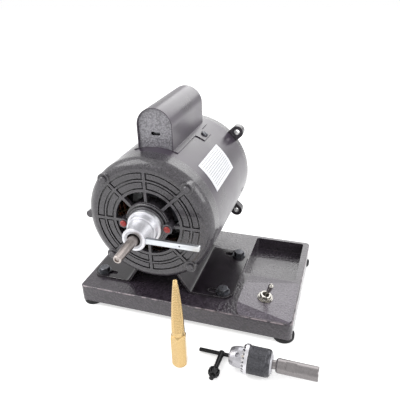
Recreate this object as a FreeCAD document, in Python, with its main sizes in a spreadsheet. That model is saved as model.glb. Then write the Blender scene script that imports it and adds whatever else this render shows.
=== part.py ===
import FreeCAD, Part
import math
import os
import Sketcher

# Dental polishing lathe: a small tray base on rubber feet carries a fan-cooled
# motor in a sheet cradle, with a tapered spindle nose, an ejector lever and a
# toggle switch. Its brass spindle, drill chuck and chuck key stand in front.
# Millimetres and degrees, +X right, +Y back, +Z up. The origin is on the floor,
# under the middle of the whole set.

SIZES = {
    # Tray base
    "base_width": 247.0, "base_depth": 163.4, "base_height": 20.5,
    "base_wall": 4.0, "base_corner": 5.0, "base_edge": 1.6,
    "tray_inset": 68.7, "tray_front": 76.6, "tray_width": 61.0,
    "tray_length": 81.4, "tray_depth": 15.5, "tray_corner": 3.0,
    "cover_sheet": 1.5, "post_radius": 7.0, "wire_hole": 6.0,
    "foot_radius": 11.5, "foot_drop": 6.0, "foot_inset_side": 9.5,
    "foot_inset_end": 11.5, "foot_screw_radius": 2.1, "foot_screw_grip": 4.0,
    "seat_gap": 0.1, "running_gap": 0.05,
    # Switch housing and toggle switch
    "housing_span": 60.5, "housing_inset": 1.5, "housing_rise": 8.6,
    "housing_tilt": 7.3, "housing_sheet": 2.0, "housing_bevel": 10.5,
    "housing_back": 74.0, "housing_slope": 27.0, "housing_corner": 9.0,
    "switch_inset": 34.1, "switch_behind": 30.0, "bushing_radius": 5.95,
    "bushing_rise": 5.6, "nut_flats": 14.3, "nut_height": 2.4,
    "washer_radius": 8.3, "washer_sheet": 0.8, "switch_case_width": 15.0,
    "switch_case_length": 26.0, "switch_case_depth": 14.5,
    "pivot_rise": 1.0, "toggle_length": 20.0, "toggle_throw": 12.5,
    "toggle_tip": 2.9, "toggle_neck": 1.5, "toggle_ball": 2.3, "toggle_pin": 0.6,
    # Motor and its cradle
    "axis_inset": 91.0, "axis_height": 93.0, "face_inset": 7.1,
    "shell_radius": 70.5, "shell_wall": 1.6, "shell_front": 31.1,
    "shell_back": 157.0, "cradle_sheet": 2.5, "cradle_front": 21.0,
    "cradle_length": 95.5, "cradle_half": 86.0, "strut_foot": 38.6, "strut_lean": 31.0,
    "bend_radius": 6.0, "cradle_corner": 13.0, "bolt_half_span": 74.2,
    "bolt_front": 30.6, "bolt_pitch": 76.2, "bolt_radius": 3.17,
    "bolt_gap": 0.35, "slot_reach": 14.0, "bolt_flats": 11.1,
    "bolt_head": 4.4, "plain_washer": 8.0, "plain_washer_sheet": 1.5,
    "hex_nut_height": 5.5, "vent_width": 3.0, "vent_length": 13.0,
    # Endshields, through bolts and their cover screws
    "spoke_count": 8, "spoke_half": 1.4, "rim_width": 13.0,
    "ring_middle_share": 0.675, "ring_inner_share": 0.5277, "rib_width": 1.5,
    "groove_width": 1.7, "groove_depth": 2.4, "panel_drop": 0.4,
    "window_inner": 24.2, "window_rim": 1.2, "shield_web": 5.0,
    "face_round": 9.5, "shield_round": 9.5, "skirt_wall": 6.0,
    "spigot": 6.0, "hub_reach": 4.1, "hub_seat": 19.3, "hub_lip": 0.9,
    "hub_step": 21.0, "hub_foot": 23.6, "bearing_radius": 20.0,
    "bearing_width": 12.0, "bearing_bore": 8.5, "race_wall": 2.75,
    "ball_radius": 3.0, "ball_count": 9, "tie_inset": 6.5,
    "tie_radius": 2.4, "tie_boss": 6.4, "tie_head": 3.7,
    "cap_screw_offset": 24.3, "cap_boss": 5.4, "cap_boss_reach": 6.4,
    "cap_screw_head": 3.6, "back_shield_depth": 18.0, "ear_reach": 8.5,
    "ear_radius": 7.6, "ear_hole": 3.2, "ear_sheet": 9.0, "ear_angle": 43.0,
    # Stator, rotor and starting gear
    "core_front": 58.0, "core_length": 64.0, "core_bore_share": 0.5475,
    "air_gap": 0.6, "winding_reach": 21.0, "winding_inset": 3.4,
    "winding_gap": 10.5, "end_ring_length": 8.0, "blade_count": 10,
    "blade_reach": 7.0, "blade_sheet": 1.6, "governor_front": 135.3,
    "governor_length": 6.5, "governor_radius": 26.0, "collar_front": 144.9,
    "collar_length": 4.0, "collar_radius": 14.0,
    "board_sheet": 2.0, "board_half": 46.0,
    # Spindle nose and ejector
    "nose_reach": 61.9, "nose_tip_radius": 4.0, "nose_radius": 6.35,
    "centre_radius": 2.5, "ejector_reach": 26.9, "ejector_radius": 12.4,
    "ejector_flange": 16.0, "ejector_flange_reach": 9.7, "ejector_base": 18.5,
    "ejector_tube": 10.9, "thrust_outer": 9.5, "thrust_inner": 6.9,
    "thrust_length": 17.5, "lever_length": 67.4,
    "lever_height": 5.7, "lever_sheet": 3.0, "lever_set_back": 1.4,
    # Capacitor and its cover
    "cover_front": 42.0, "cover_length": 98.0, "cover_half": 19.5,
    "cover_rise": 22.5, "cover_wall": 1.0, "cover_flange": 5.0,
    "cover_tab": 11.0, "cover_tab_length": 22.0, "cover_tab_front": 56.0,
    "plate_recess": 2.2, "knockout_half": 3.2, "knockout_radius": 2.0,
    "capacitor_radius": 17.2, "capacitor_length": 84.0,
    "plate_front": 43.5, "plate_length": 65.5, "plate_low": 23.0,
    "plate_high": 50.3, "plate_sheet": 0.4,
    # Brass polishing spindle
    "spindle_across": 143.8, "spindle_before": 54.5, "spindle_flats": 14.4,
    "spindle_hex": 36.0, "spindle_height": 103.0, "spindle_bow": 565.0,
    "spindle_tip": 2.2, "socket_depth": 34.0,
    # Drill chuck, its adapter and its key
    "chuck_across": 192.8, "chuck_before": 44.2, "chuck_length": 42.0,
    "chuck_nose": 10.4, "core_radius": 10.3, "ring_start": 13.4,
    "ring_length": 6.0, "ring_radius": 14.4, "tooth_count": 24,
    "tooth_depth": 1.6, "sleeve_radius": 13.4, "sleeve_end": 40.5,
    "sleeve_recess": 12.4, "nut_start": 20.6, "nut_length": 4.9,
    "recess_end": 33.5, "jaw_radius": 2.0, "jaw_length": 20.0,
    "jaw_angle": 15.0, "jaw_offset": 1.8, "jaw_inset": 0.6,
    "jaw_travel": 12.0, "chuck_bore": 3.6, "arbor_radius": 4.2,
    "arbor_reach": 3.6, "adapter_radius": 7.1, "adapter_length": 39.8,
    "adapter_flats": 11.4, "flats_start": 9.4, "flats_length": 10.2,
    "key_across": 181.5, "key_before": 34.4, "key_bar_half": 23.5,
    "key_bar_radius": 2.0, "key_hub_radius": 3.0, "key_hub_back": 2.0,
    "key_stem_radius": 2.7, "key_pinion_radius": 5.7,
    "key_pinion_start": 24.5, "key_pinion_length": 8.0,
    "key_pilot_radius": 2.3, "key_length": 37.0, "key_tooth_count": 10,
    # Cable inlet
    "inlet_radius": 3.6, "grommet_radius": 6.2, "grommet_flange": 8.4,
    "grommet_lip": 2.0,
}

doc = FreeCAD.newDocument("dental_polishing_lathe")
sheet = doc.addObject("Spreadsheet::Sheet", "Sizes")
for row, (alias, number) in enumerate(SIZES.items(), start=1):
    sheet.set("A%d" % row, alias)
    sheet.set("B%d" % row, str(number))
    sheet.setAlias("B%d" % row, alias)
doc.recompute()


class Size:
    """A length or angle that knows its number and its rule in the sheet's terms."""

    def __init__(self, number, rule=None):
        self.number = float(number)
        self.rule = repr(self.number) if rule is None else rule

    @staticmethod
    def of(thing):
        return thing if isinstance(thing, Size) else Size(thing)

    def join(self, sign, other, number):
        return Size(number, "(%s %s %s)" % (self.rule, sign, other.rule))

    def __add__(self, other):
        other = Size.of(other)
        return self.join("+", other, self.number + other.number)

    def __sub__(self, other):
        other = Size.of(other)
        return self.join("-", other, self.number - other.number)

    def __mul__(self, other):
        other = Size.of(other)
        return self.join("*", other, self.number * other.number)

    def __truediv__(self, other):
        other = Size.of(other)
        return self.join("/", other, self.number / other.number)

    def __radd__(self, other):
        return Size.of(other) + self

    def __rsub__(self, other):
        return Size.of(other) - self

    def __rmul__(self, other):
        return Size.of(other) * self

    def __rtruediv__(self, other):
        return Size.of(other) / self

    def __neg__(self):
        return Size(0) - self


def root(size):
    return Size(math.sqrt(size.number), "sqrt(%s)" % size.rule)


def sine(size):
    size = Size.of(size)
    return Size(math.sin(math.radians(size.number)), "sin(%s)" % size.rule)


def cosine(size):
    size = Size.of(size)
    return Size(math.cos(math.radians(size.number)), "cos(%s)" % size.rule)


def arc_angle(size):
    """The angle whose tangent is this size."""
    return Size(math.degrees(math.atan(size.number)), "atan(%s) / 1 deg" % size.rule)


class Sheet:
    """The sheet's cells as sizes, by alias."""

    def __getattr__(self, alias):
        return Size(float(sheet.get(alias)), "Sizes.%s" % alias)


s = Sheet()
finished = []

AXES = {
    "z": FreeCAD.Rotation(),
    "x": FreeCAD.Rotation(FreeCAD.Vector(0, 1, 0), 90),
    "y": FreeCAD.Rotation(FreeCAD.Vector(1, 0, 0), -90),
}
TURNED_AXES = {
    "y": FreeCAD.Rotation(),
    "x": FreeCAD.Rotation(FreeCAD.Vector(0, 0, 1), -90),
    "z": FreeCAD.Rotation(FreeCAD.Vector(1, 0, 0), 90),
}
DRAWN_AXES = {
    "z": FreeCAD.Rotation(),
    "y": FreeCAD.Rotation(FreeCAD.Vector(1, 0, 0), 90),
    "x": FreeCAD.Rotation(FreeCAD.Vector(1, 1, 1), 120),
}


def tie(thing, name, size):
    thing.setExpression(name, Size.of(size).rule)


def place(thing, at, turn=None):
    """Put a thing at a point of three sizes, turned by a fixed rotation."""
    numbers = FreeCAD.Vector(*[Size.of(size).number for size in at])
    thing.Placement = FreeCAD.Placement(numbers, turn or FreeCAD.Rotation())
    for axis, size in zip("xyz", at):
        tie(thing, "Placement.Base.%s" % axis, size)
    return thing


def draw(sketch, loops):
    """Draw closed loops of points, each (u, v) or (u, v, radius, turn) for an arc
    that arrives there, and circles given as ("circle", u, v, radius)."""
    for loop in loops:
        if loop[0] == "circle":
            u, v, radius = [Size.of(size) for size in loop[1:]]
            centre = FreeCAD.Vector(u.number, v.number, 0)
            index = sketch.addGeometry(Part.Circle(centre, FreeCAD.Vector(0, 0, 1), radius.number))
            measure(sketch, index, 3, u, v)
            hold = sketch.addConstraint(Sketcher.Constraint("Radius", index, radius.number))
            tie(sketch, "Constraints[%d]" % hold, radius)
            continue
        points = [[Size.of(point[0]), Size.of(point[1])] + list(point[2:]) for point in loop]
        indexes = []
        for before, after in zip(points, points[1:] + points[:1]):
            start = FreeCAD.Vector(before[0].number, before[1].number, 0)
            end = FreeCAD.Vector(after[0].number, after[1].number, 0)
            if len(after) > 2:
                edge = arc_between(start, end, Size.of(after[2]).number, after[3])
            else:
                edge = Part.LineSegment(start, end)
            indexes.append(sketch.addGeometry(edge))
        for number, index in enumerate(indexes):
            after = points[(number + 1) % len(points)]
            ahead = indexes[(number + 1) % len(indexes)]
            end = 1 if len(after) > 2 and after[3] == "right" else 2
            beyond = points[(number + 2) % len(points)]
            begin = 2 if len(beyond) > 2 and beyond[3] == "right" else 1
            sketch.addConstraint(Sketcher.Constraint("Coincident", index, end, ahead, begin))
            measure(sketch, index, end, after[0], after[1])
            if len(after) > 2:
                radius = Size.of(after[2])
                hold = sketch.addConstraint(Sketcher.Constraint("Radius", index, radius.number))
                tie(sketch, "Constraints[%d]" % hold, radius)


def measure(sketch, index, end, u, v):
    """Hold one point of the sketch at two sizes from its origin."""
    for kind, size in (("DistanceX", u), ("DistanceY", v)):
        hold = sketch.addConstraint(Sketcher.Constraint(kind, -1, 1, index, end, size.number))
        tie(sketch, "Constraints[%d]" % hold, size)


def arc_between(start, end, radius, turn):
    """The lesser arc from start to end that turns left or right."""
    middle = (start + end) / 2
    half = (end - start) / 2
    across = FreeCAD.Vector(-half.y, half.x, 0).normalize()
    rise = math.sqrt(max(radius ** 2 - half.Length ** 2, 0))
    if turn == "right":
        across = -across
    centre = middle + across * rise
    first = math.atan2(start.y - centre.y, start.x - centre.x)
    last = math.atan2(end.y - centre.y, end.x - centre.x)
    circle = Part.Circle(centre, FreeCAD.Vector(0, 0, 1), radius)
    if turn == "right":
        return Part.ArcOfCircle(circle, last, first)
    return Part.ArcOfCircle(circle, first, last)


def outline(name, loops):
    sketch = doc.addObject("Sketcher::SketchObject", name + "_outline")
    draw(sketch, loops)
    return sketch


def turned(name, profile, at=(0, 0, 0), along="y", turn=None):
    """Turn a profile of (radius, place along the axis) about its axis."""
    solid = doc.addObject("Part::Revolution", name)
    solid.Source = outline(name, [profile])
    solid.Base = FreeCAD.Vector(0, 0, 0)
    solid.Axis = FreeCAD.Vector(0, 1, 0)
    solid.Angle = 360
    solid.Solid = True
    solid.FaceMakerClass = "Part::FaceMakerBullseye"
    return place(solid, at, turn or TURNED_AXES[along])


def extruded(name, loops, length, at=(0, 0, 0), along="z", turn=None):
    """Push an outline along an axis: seen from the front for y, from the right for x."""
    solid = doc.addObject("Part::Extrusion", name)
    solid.Base = outline(name, loops)
    solid.DirMode = "Custom"
    solid.Dir = FreeCAD.Vector(0, 0, -1 if along == "y" else 1)
    solid.Solid = True
    solid.FaceMakerClass = "Part::FaceMakerBullseye"
    tie(solid, "LengthFwd", length)
    return place(solid, at, turn or DRAWN_AXES[along])


def rod(name, radius, length, at, along="y", turn=None):
    solid = doc.addObject("Part::Cylinder", name)
    tie(solid, "Radius", radius)
    tie(solid, "Height", length)
    return place(solid, at, turn or AXES[along])


def block(name, sizes, at, turn=None):
    solid = doc.addObject("Part::Box", name)
    for side, size in zip(("Length", "Width", "Height"), sizes):
        tie(solid, side, size)
    return place(solid, at, turn)


def ball(name, radius, at):
    solid = doc.addObject("Part::Sphere", name)
    tie(solid, "Radius", radius)
    return place(solid, at)


def cut(name, base, tools):
    tool = tools[0] if len(tools) == 1 else fused(name + "_tools", tools)
    solid = doc.addObject("Part::Cut", name)
    solid.Base = base
    solid.Tool = tool
    return solid


def fused(name, parts):
    solid = doc.addObject("Part::MultiFuse", name)
    solid.Shapes = parts
    return solid


def common(name, first, second):
    solid = doc.addObject("Part::Common", name)
    solid.Base = first
    solid.Tool = second
    return solid


def group(name, parts):
    """Like pieces in one node, each a solid of its own."""
    solid = doc.addObject("Part::Compound", name)
    solid.Links = parts
    return solid


def keep(thing, label=None):
    """Mark a sub-part as finished, under the label that names its file."""
    thing.Label = label or thing.Name
    finished.append(thing)
    return thing


def hexagon(flats):
    """The six corners of a hexagon with its flats left and right."""
    corner = flats / math.sqrt(3)
    return [(corner * math.sin(math.radians(60 * step)), corner * math.cos(math.radians(60 * step)))
            for step in range(6)]


def rounded(low_u, low_v, high_u, high_v, radius):
    """A rectangle with rounded corners."""
    return [
        (low_u + radius, low_v, radius, "left"), (high_u - radius, low_v),
        (high_u, low_v + radius, radius, "left"), (high_u, high_v - radius),
        (high_u - radius, high_v, radius, "left"), (low_u + radius, high_v),
        (low_u, high_v - radius, radius, "left"), (low_u, low_v + radius),
    ]


# Where things stand. The whole set is centred over the origin: from the left
# feet to the adapter's end, and from the key's tip to the motor's back.

key_tilt = arc_angle((s.key_pinion_radius - s.key_hub_radius) / (s.key_pinion_start + 0.9 + s.key_hub_back))
key_rise = s.key_hub_back * sine(key_tilt) + s.key_hub_radius * cosine(key_tilt)
motor_back = s.shell_back + s.back_shield_depth
tail_across = s.chuck_across + s.chuck_length + s.arbor_reach + s.adapter_length
key_reach = s.key_before + s.key_length * cosine(key_tilt) + (s.key_pilot_radius - 0.6) * sine(key_tilt)
base_left = (s.foot_radius - s.foot_inset_side - tail_across) / 2
tie_tail = motor_back + 2
base_front = (key_reach - tie_tail) / 2
base_top = s.foot_drop + s.base_height
axis_x = base_left + s.axis_inset
axis_z = base_top + s.axis_height
tray_left = s.base_width - s.tray_inset
housing_left = s.base_width - s.housing_span
switch_across = s.base_width - s.switch_inset


# Tray base: a casting, open underneath, with a sunk tray at its right rear.

def body(name, at):
    return place(doc.addObject("PartDesign::Body", name), at)


def body_sketch(owner, name, plane, loops, offset=0):
    sketch = owner.newObject("Sketcher::SketchObject", name)
    face = [item for item in owner.Origin.OriginFeatures if item.Role == plane][0]
    sketch.AttachmentSupport = (face, [""])
    sketch.MapMode = "FlatFace"
    tie(sketch, "AttachmentOffset.Base.z", offset)
    draw(sketch, loops)
    return sketch


def pad(owner, name, sketch, length):
    feature = owner.newObject("PartDesign::Pad", name)
    feature.Profile = sketch
    tie(feature, "Length", length)
    return feature


def pocket(owner, name, sketch, length, up=False):
    """Cut a sketch away below its plane, or above it."""
    feature = owner.newObject("PartDesign::Pocket", name)
    feature.Profile = sketch
    feature.Reversed = up
    tie(feature, "Length", length)
    return feature


def repeat(owner, name, features, count):
    """Repeat features round the body's Y axis."""
    pattern = owner.newObject("PartDesign::PolarPattern", name)
    pattern.Originals = features
    axis = [item for item in owner.Origin.OriginFeatures if item.Role == "Y_Axis"][0]
    pattern.Axis = (axis, [""])
    pattern.Angle = 360
    tie(pattern, "Occurrences", count)
    owner.Tip = pattern
    return pattern


foot_across = [s.foot_inset_side, s.base_width - s.foot_inset_side]
foot_behind = [s.foot_inset_end, s.base_depth - s.foot_inset_end]
foot_places = [(x, y) for x in foot_across for y in foot_behind]
bolt_across = [s.axis_inset - s.bolt_half_span, s.axis_inset + s.bolt_half_span]
bolt_behind = [s.bolt_front, s.bolt_front + s.bolt_pitch]
bolt_places = [(x, y) for x in bolt_across for y in bolt_behind]
bolt_hole = s.bolt_radius + s.bolt_gap
wire_behind = s.bolt_front + s.bolt_pitch / 2


def inside_walls(gap):
    """The L-shaped space inside the casting's walls and beside its tray."""
    inset = s.base_wall + gap
    return [
        (inset, inset), (s.base_width - inset, inset), (s.base_width - inset, s.tray_front - inset),
        (tray_left - inset, s.tray_front - inset), (tray_left - inset, s.base_depth - inset),
        (inset, s.base_depth - inset),
    ]


base = body("base_casting", (base_left, base_front, s.foot_drop))
blank = pad(base, "base_blank", body_sketch(base, "base_plan", "XY_Plane", [
    rounded(Size(0), Size(0), s.base_width, s.base_depth, s.base_corner)]), s.base_height)
doc.recompute()
rim = ["Edge%d" % number for number, edge in enumerate(blank.Shape.Edges, start=1)
       if edge.BoundBox.ZMin > SIZES["base_height"] - 0.001]
worn_edge = base.newObject("PartDesign::Fillet", "base_worn_edge")
worn_edge.Base = (blank, rim)
tie(worn_edge, "Radius", s.base_edge)
pocket(base, "tray", body_sketch(base, "tray_plan", "XY_Plane", [rounded(
    tray_left, s.tray_front, tray_left + s.tray_width, s.tray_front + s.tray_length,
    s.tray_corner)], s.base_height), s.tray_depth)
pocket(base, "underside", body_sketch(base, "underside_plan", "XY_Plane", [inside_walls(0)]),
       s.base_height - s.base_wall, up=True)
pad(base, "posts", body_sketch(base, "post_plan", "XY_Plane", [
    ("circle", x, y, s.post_radius) for x, y in foot_places[:3]], s.cover_sheet),
    s.base_height - s.cover_sheet - s.base_wall / 2)
pocket(base, "bolt_holes", body_sketch(base, "bolt_plan", "XY_Plane", [
    ("circle", x, y, bolt_hole) for x, y in bolt_places]), s.base_height, up=True)
pocket(base, "foot_screw_holes", body_sketch(base, "foot_screw_plan", "XY_Plane", [
    ("circle", x, y, s.foot_screw_radius + s.running_gap) for x, y in foot_places]),
    s.foot_screw_grip + 0.3, up=True)
pocket(base, "wire_way", body_sketch(base, "wire_plan", "XY_Plane", [
    ("circle", s.axis_inset, wire_behind, s.wire_hole)]), s.base_height, up=True)
pocket(base, "switch_way", body_sketch(base, "switch_plan", "XY_Plane", [rounded(
    switch_across - s.switch_case_width / 2 - 3, s.switch_behind - s.switch_case_length / 2 - 2,
    switch_across + s.switch_case_width / 2 + 2, s.switch_behind + s.switch_case_length / 2 + 2,
    Size(1.5))]), s.base_height, up=True)
inlet_height = s.base_height / 2 - 1
pocket(base, "inlet_way", body_sketch(base, "inlet_plan", "XZ_Plane", [
    ("circle", s.axis_inset, inlet_height, s.grommet_radius + s.seat_gap)], -s.base_depth),
    s.base_wall * 1.5, up=True)
keep(base)

# A sheet closes the casting underneath, held by the foot screws.
keep(extruded("bottom_plate", [inside_walls(0.3)] + [
    ("circle", x, y, s.foot_screw_radius + 0.3) for x, y in foot_places[:3]], s.cover_sheet,
    (base_left, base_front, s.foot_drop)))

# Rubber feet, each with its screw sunk in from below.
feet = []
foot_screws = []
for number, (x, y) in enumerate(foot_places):
    stand = (base_left + x, base_front + y, 0)
    feet.append(turned("foot_%d" % number, [
        (s.foot_screw_radius + 0.2, 3), (4.6, 3), (4.6, 0), (s.foot_radius - 1, 0),
        (s.foot_radius, 1, 1, "left"), (s.foot_radius, s.foot_drop - 1.5),
        (s.foot_radius - 1.5, s.foot_drop, 1.5, "left"),
        (s.foot_screw_radius + 0.2, s.foot_drop)], stand, "z"))
    foot_screws.append(turned("foot_screw_%d" % number, [
        (0, 1.3), (1.2, 1.3), (1.2, 0.9), (4, 0.9), (4, 2.95), (s.foot_screw_radius, 2.95),
        (s.foot_screw_radius, s.foot_drop + s.foot_screw_grip),
        (0, s.foot_drop + s.foot_screw_grip)], stand, "z"))
keep(group("rubber_feet", feet))
keep(group("foot_screws", foot_screws))

# Grommets: one for the mains cable in the back wall, one for the motor's leads.
keep(turned("cable_grommet", [
    (s.inlet_radius, -s.base_wall - s.grommet_lip), (s.grommet_radius - 0.6, -s.base_wall - s.grommet_lip),
    (s.grommet_radius, -s.base_wall), (s.grommet_radius, s.running_gap),
    (s.grommet_flange, s.running_gap), (s.grommet_flange - 0.8, s.grommet_lip),
    (s.inlet_radius, s.grommet_lip)],
    (axis_x, base_front + s.base_depth, s.foot_drop + inlet_height)))
keep(turned("wire_grommet", [
    (s.inlet_radius, -s.base_wall), (s.wire_hole - s.seat_gap, -s.base_wall),
    (s.wire_hole - s.seat_gap, s.running_gap), (s.wire_hole + 2, s.running_gap),
    (s.wire_hole + 1.2, s.grommet_lip), (s.inlet_radius, s.grommet_lip)],
    (axis_x, base_front + wire_behind, base_top), "z"))

# Switch housing: a hollow wedge on the base, high at its left edge, with a
# bevelled front and a slope down to the tray.
tilt = s.housing_tilt
slant = sine(tilt) / cosine(tilt)
housing_width = s.housing_span - s.housing_inset
housing_at = (base_left + housing_left, base_front, base_top)


def wedge(name, thin):
    """The housing's outer form, or the space inside it when a sheet is taken off."""
    fall = (housing_width - thin) * slant
    front = extruded(name + "_front", [[
        (thin, 0), (housing_width - thin, 0), (housing_width - thin, s.housing_rise - fall - thin),
        (thin, s.housing_rise - thin * slant - thin)]], s.housing_back, housing_at, "y")
    side = extruded(name + "_side", [[
        (s.housing_inset + thin * 1.3, 0), (s.housing_back - thin * 2, 0),
        (s.housing_back - s.housing_slope - thin * 0.4, s.housing_rise),
        (s.housing_bevel + s.housing_inset + thin * 0.6, s.housing_rise)]],
        s.base_width, housing_at, "x")
    plan = extruded(name + "_plan", [rounded(
        thin, thin / 2, housing_width - thin, s.housing_back, s.housing_corner - thin)],
        s.housing_rise * 2, housing_at)
    return common(name + "_form", common(name + "_sides", front, side), plan)


panel_turn = FreeCAD.Rotation(FreeCAD.Vector(0, 1, 0), SIZES["housing_tilt"])
panel_x = base_left + switch_across
panel_y = base_front + s.switch_behind
panel_z = base_top + s.housing_rise - (switch_across - housing_left) * slant


def on_panel(thing, rise=0, across=0, behind=0):
    """Put a thing over the switch's place on the tilted panel and lean it with the panel."""
    at = (panel_x + rise * sine(tilt) + across * cosine(tilt), panel_y + behind,
          panel_z + rise * cosine(tilt) - across * sine(tilt))
    return place(thing, at, panel_turn.multiply(thing.Placement.Rotation))


housing_hole = on_panel(rod("housing_hole", s.bushing_radius + 0.15, 20, (0, 0, 0), "z"), -10)
keep(cut("switch_housing", wedge("housing_outer", Size(0)),
         [wedge("housing_inner", s.housing_sheet), housing_hole]))

# Toggle switch: case, threaded bushing, washer, hex nut and a bat lever.
case_top = -s.housing_sheet - s.seat_gap
bore = s.toggle_ball + s.running_gap
case_size = (s.switch_case_width, s.switch_case_length, s.switch_case_depth)
keep(on_panel(block("switch_case", case_size, (0, 0, 0)),
              case_top - s.switch_case_depth, -s.switch_case_width / 2, -s.switch_case_length / 2))
bushing_tube = on_panel(turned("switch_bushing_tube", [
    (bore, case_top), (s.bushing_radius, case_top), (s.bushing_radius, s.bushing_rise - 0.5),
    (s.bushing_radius - 0.5, s.bushing_rise), (bore + 1.6, s.bushing_rise),
    (bore, s.pivot_rise + 1.3)], along="z"))
toggle_pin = on_panel(rod("toggle_pin", s.toggle_pin, bore * 2 + 2, (0, 0, 0)), s.pivot_rise, 0, -bore - 1)
keep(fused("switch_bushing", [bushing_tube, toggle_pin]))
keep(on_panel(turned("switch_washer", [
    (s.bushing_radius + s.running_gap, 0.02), (s.washer_radius, 0.02), (s.washer_radius, s.washer_sheet),
    (s.bushing_radius + s.running_gap, s.washer_sheet)], along="z")))
nut_blank = on_panel(extruded("switch_nut_blank", [hexagon(s.nut_flats)] + [
    ("circle", 0, 0, s.bushing_radius + s.running_gap)], s.nut_height), s.washer_sheet + 0.02)
nut_round = on_panel(turned("switch_nut_round", [
    (0, -1), (s.nut_flats * 0.58, -1), (s.nut_flats * 0.58, s.nut_height - 0.7),
    (s.nut_flats * 0.5, s.nut_height + 0.1), (0, s.nut_height + 0.1)], along="z"), s.washer_sheet)
keep(common("switch_nut", nut_blank, nut_round))
lean = FreeCAD.Rotation(FreeCAD.Vector(0, 1, 0), SIZES["toggle_throw"])
bat = on_panel(turned("toggle_bat", [
    (0, -s.toggle_ball), (s.toggle_ball, 0, s.toggle_ball, "left"),
    (s.toggle_neck, s.toggle_ball * 0.8), (s.toggle_neck + 0.1, 5),
    (s.toggle_tip, s.toggle_length - s.toggle_tip),
    (0, s.toggle_length, s.toggle_tip, "left")], turn=lean.multiply(TURNED_AXES["z"])), s.pivot_rise)
keep(cut("toggle_lever", bat, [on_panel(rod("toggle_pin_hole", s.toggle_pin + s.running_gap, 8, (0, 0, 0)),
                                        s.pivot_rise, 0, -4)]))

# Motor cradle: one bent sheet, with two slotted feet, two struts that lean in
# and a saddle that hugs the shell.
thick = s.cradle_sheet
saddle = s.shell_radius + s.seat_gap / 2
saddle_under = saddle + thick
lean_across = sine(s.strut_lean)
lean_up = cosine(s.strut_lean)
half_bend = (90 - s.strut_lean) / 2
lap = sine(half_bend) / cosine(half_bend)
bend = s.bend_radius
wide_bend = bend + thick


def strut_face(foot, level, radius):
    """Where a strut's face leaves its bend, and where it meets a round over it: two points."""
    rise = s.axis_height - level
    square = foot * lean_across + rise * lean_up
    run = square - root(square * square - (foot * foot + rise * rise - radius * radius))
    bent = (bend + s.cradle_sheet - level) * lap
    return [(foot - bent * lean_across, level + bent * lean_up),
            (foot - run * lean_across, level + run * lean_up), foot + bent]


outer_low, outer_high, bend_start = strut_face(s.strut_foot, thick, saddle)
inner_low, inner_high, under_start = strut_face(s.strut_foot - thick * lap, Size(0), saddle_under)
cradle_y = base_front + s.cradle_front
cradle_blank = extruded("cradle_blank", [[
    (s.cradle_half, 0), (s.cradle_half, thick), (bend_start, thick),
    outer_low + (bend, "right"), outer_high, (-outer_high[0], outer_high[1], saddle, "right"),
    (-outer_low[0], outer_low[1]), (-bend_start, thick, bend, "right"), (-s.cradle_half, thick),
    (-s.cradle_half, 0), (-under_start, 0), (-inner_low[0], inner_low[1], wide_bend, "left"),
    (-inner_high[0], inner_high[1]), inner_high + (saddle_under, "left"), inner_low,
    (under_start, 0, wide_bend, "left")]], s.cradle_length, (axis_x, cradle_y, base_top), "y")
cradle_plan = extruded("cradle_plan", [rounded(
    -s.cradle_half, Size(0), s.cradle_half, s.cradle_length, s.cradle_corner)],
    s.axis_height, (axis_x, cradle_y, base_top))
slots = []
for side in (-1, 1):
    for y in bolt_behind:
        near = side * (s.bolt_half_span - s.slot_reach)
        far = side * s.bolt_half_span
        low, high = (near, far) if side > 0 else (far, near)
        middle = y - s.cradle_front
        slots.append(extruded("slot_%d" % len(slots), [[
            (low, middle - bolt_hole, bolt_hole, "left"), (high, middle - bolt_hole),
            (high + bolt_hole, middle, bolt_hole, "left"), (high, middle + bolt_hole, bolt_hole, "left"),
            (low, middle + bolt_hole), (low - bolt_hole, middle, bolt_hole, "left")]],
            10, (axis_x, cradle_y, base_top - 3)))
keep(cut("motor_cradle", common("cradle_shaped", cradle_blank, cradle_plan), slots))

bolts = []
washers = []
nuts = []
for number, (x, y) in enumerate(bolt_places):
    stand = (base_left + x, base_front + y, base_top + s.cradle_sheet)
    seat = (stand[0], stand[1], stand[2] + s.plain_washer_sheet)
    shank = s.cradle_sheet + s.base_wall + s.hex_nut_height + 3
    head = extruded("bolt_head_%d" % number, [hexagon(s.bolt_flats)], s.bolt_head, seat,
                    turn=FreeCAD.Rotation(FreeCAD.Vector(0, 0, 1), 13 * number))
    crown = turned("bolt_crown_%d" % number, [
        (0, -1), (s.bolt_flats * 0.6, -1), (s.bolt_flats * 0.6, s.bolt_head - 1),
        (s.bolt_flats * 0.46, s.bolt_head), (0, s.bolt_head)], seat, "z")
    stem = rod("bolt_stem_%d" % number, s.bolt_radius, shank + s.plain_washer_sheet,
               (stand[0], stand[1], stand[2] - shank), "z")
    bolts.append(fused("bolt_%d" % number, [common("bolt_cap_%d" % number, head, crown), stem]))
    washers.append(turned("washer_%d" % number, [
        (bolt_hole, 0), (s.plain_washer, 0), (s.plain_washer, s.plain_washer_sheet),
        (bolt_hole, s.plain_washer_sheet)], stand, "z"))
    nuts.append(extruded("nut_%d" % number, [hexagon(s.bolt_flats)] + [
        ("circle", 0, 0, s.bolt_radius + s.running_gap)], s.hex_nut_height,
        (stand[0], stand[1], base_top - s.base_wall - s.hex_nut_height)))
keep(group("cradle_bolts", bolts))
keep(group("cradle_washers", washers))
keep(group("cradle_nuts", nuts))


# Motor shell: a rolled steel tube with short vent slots at the back.

def round_axis(radius, angle, behind):
    """A point round the motor's axis, by angle up from the right, behind the base's front."""
    return (axis_x + radius * math.cos(math.radians(angle)), base_front + behind,
            axis_z + radius * math.sin(math.radians(angle)))


def about_axis(angle):
    """A turn about the motor's axis that raises the right-hand side."""
    return FreeCAD.Rotation(FreeCAD.Vector(0, 1, 0), -angle)


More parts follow.
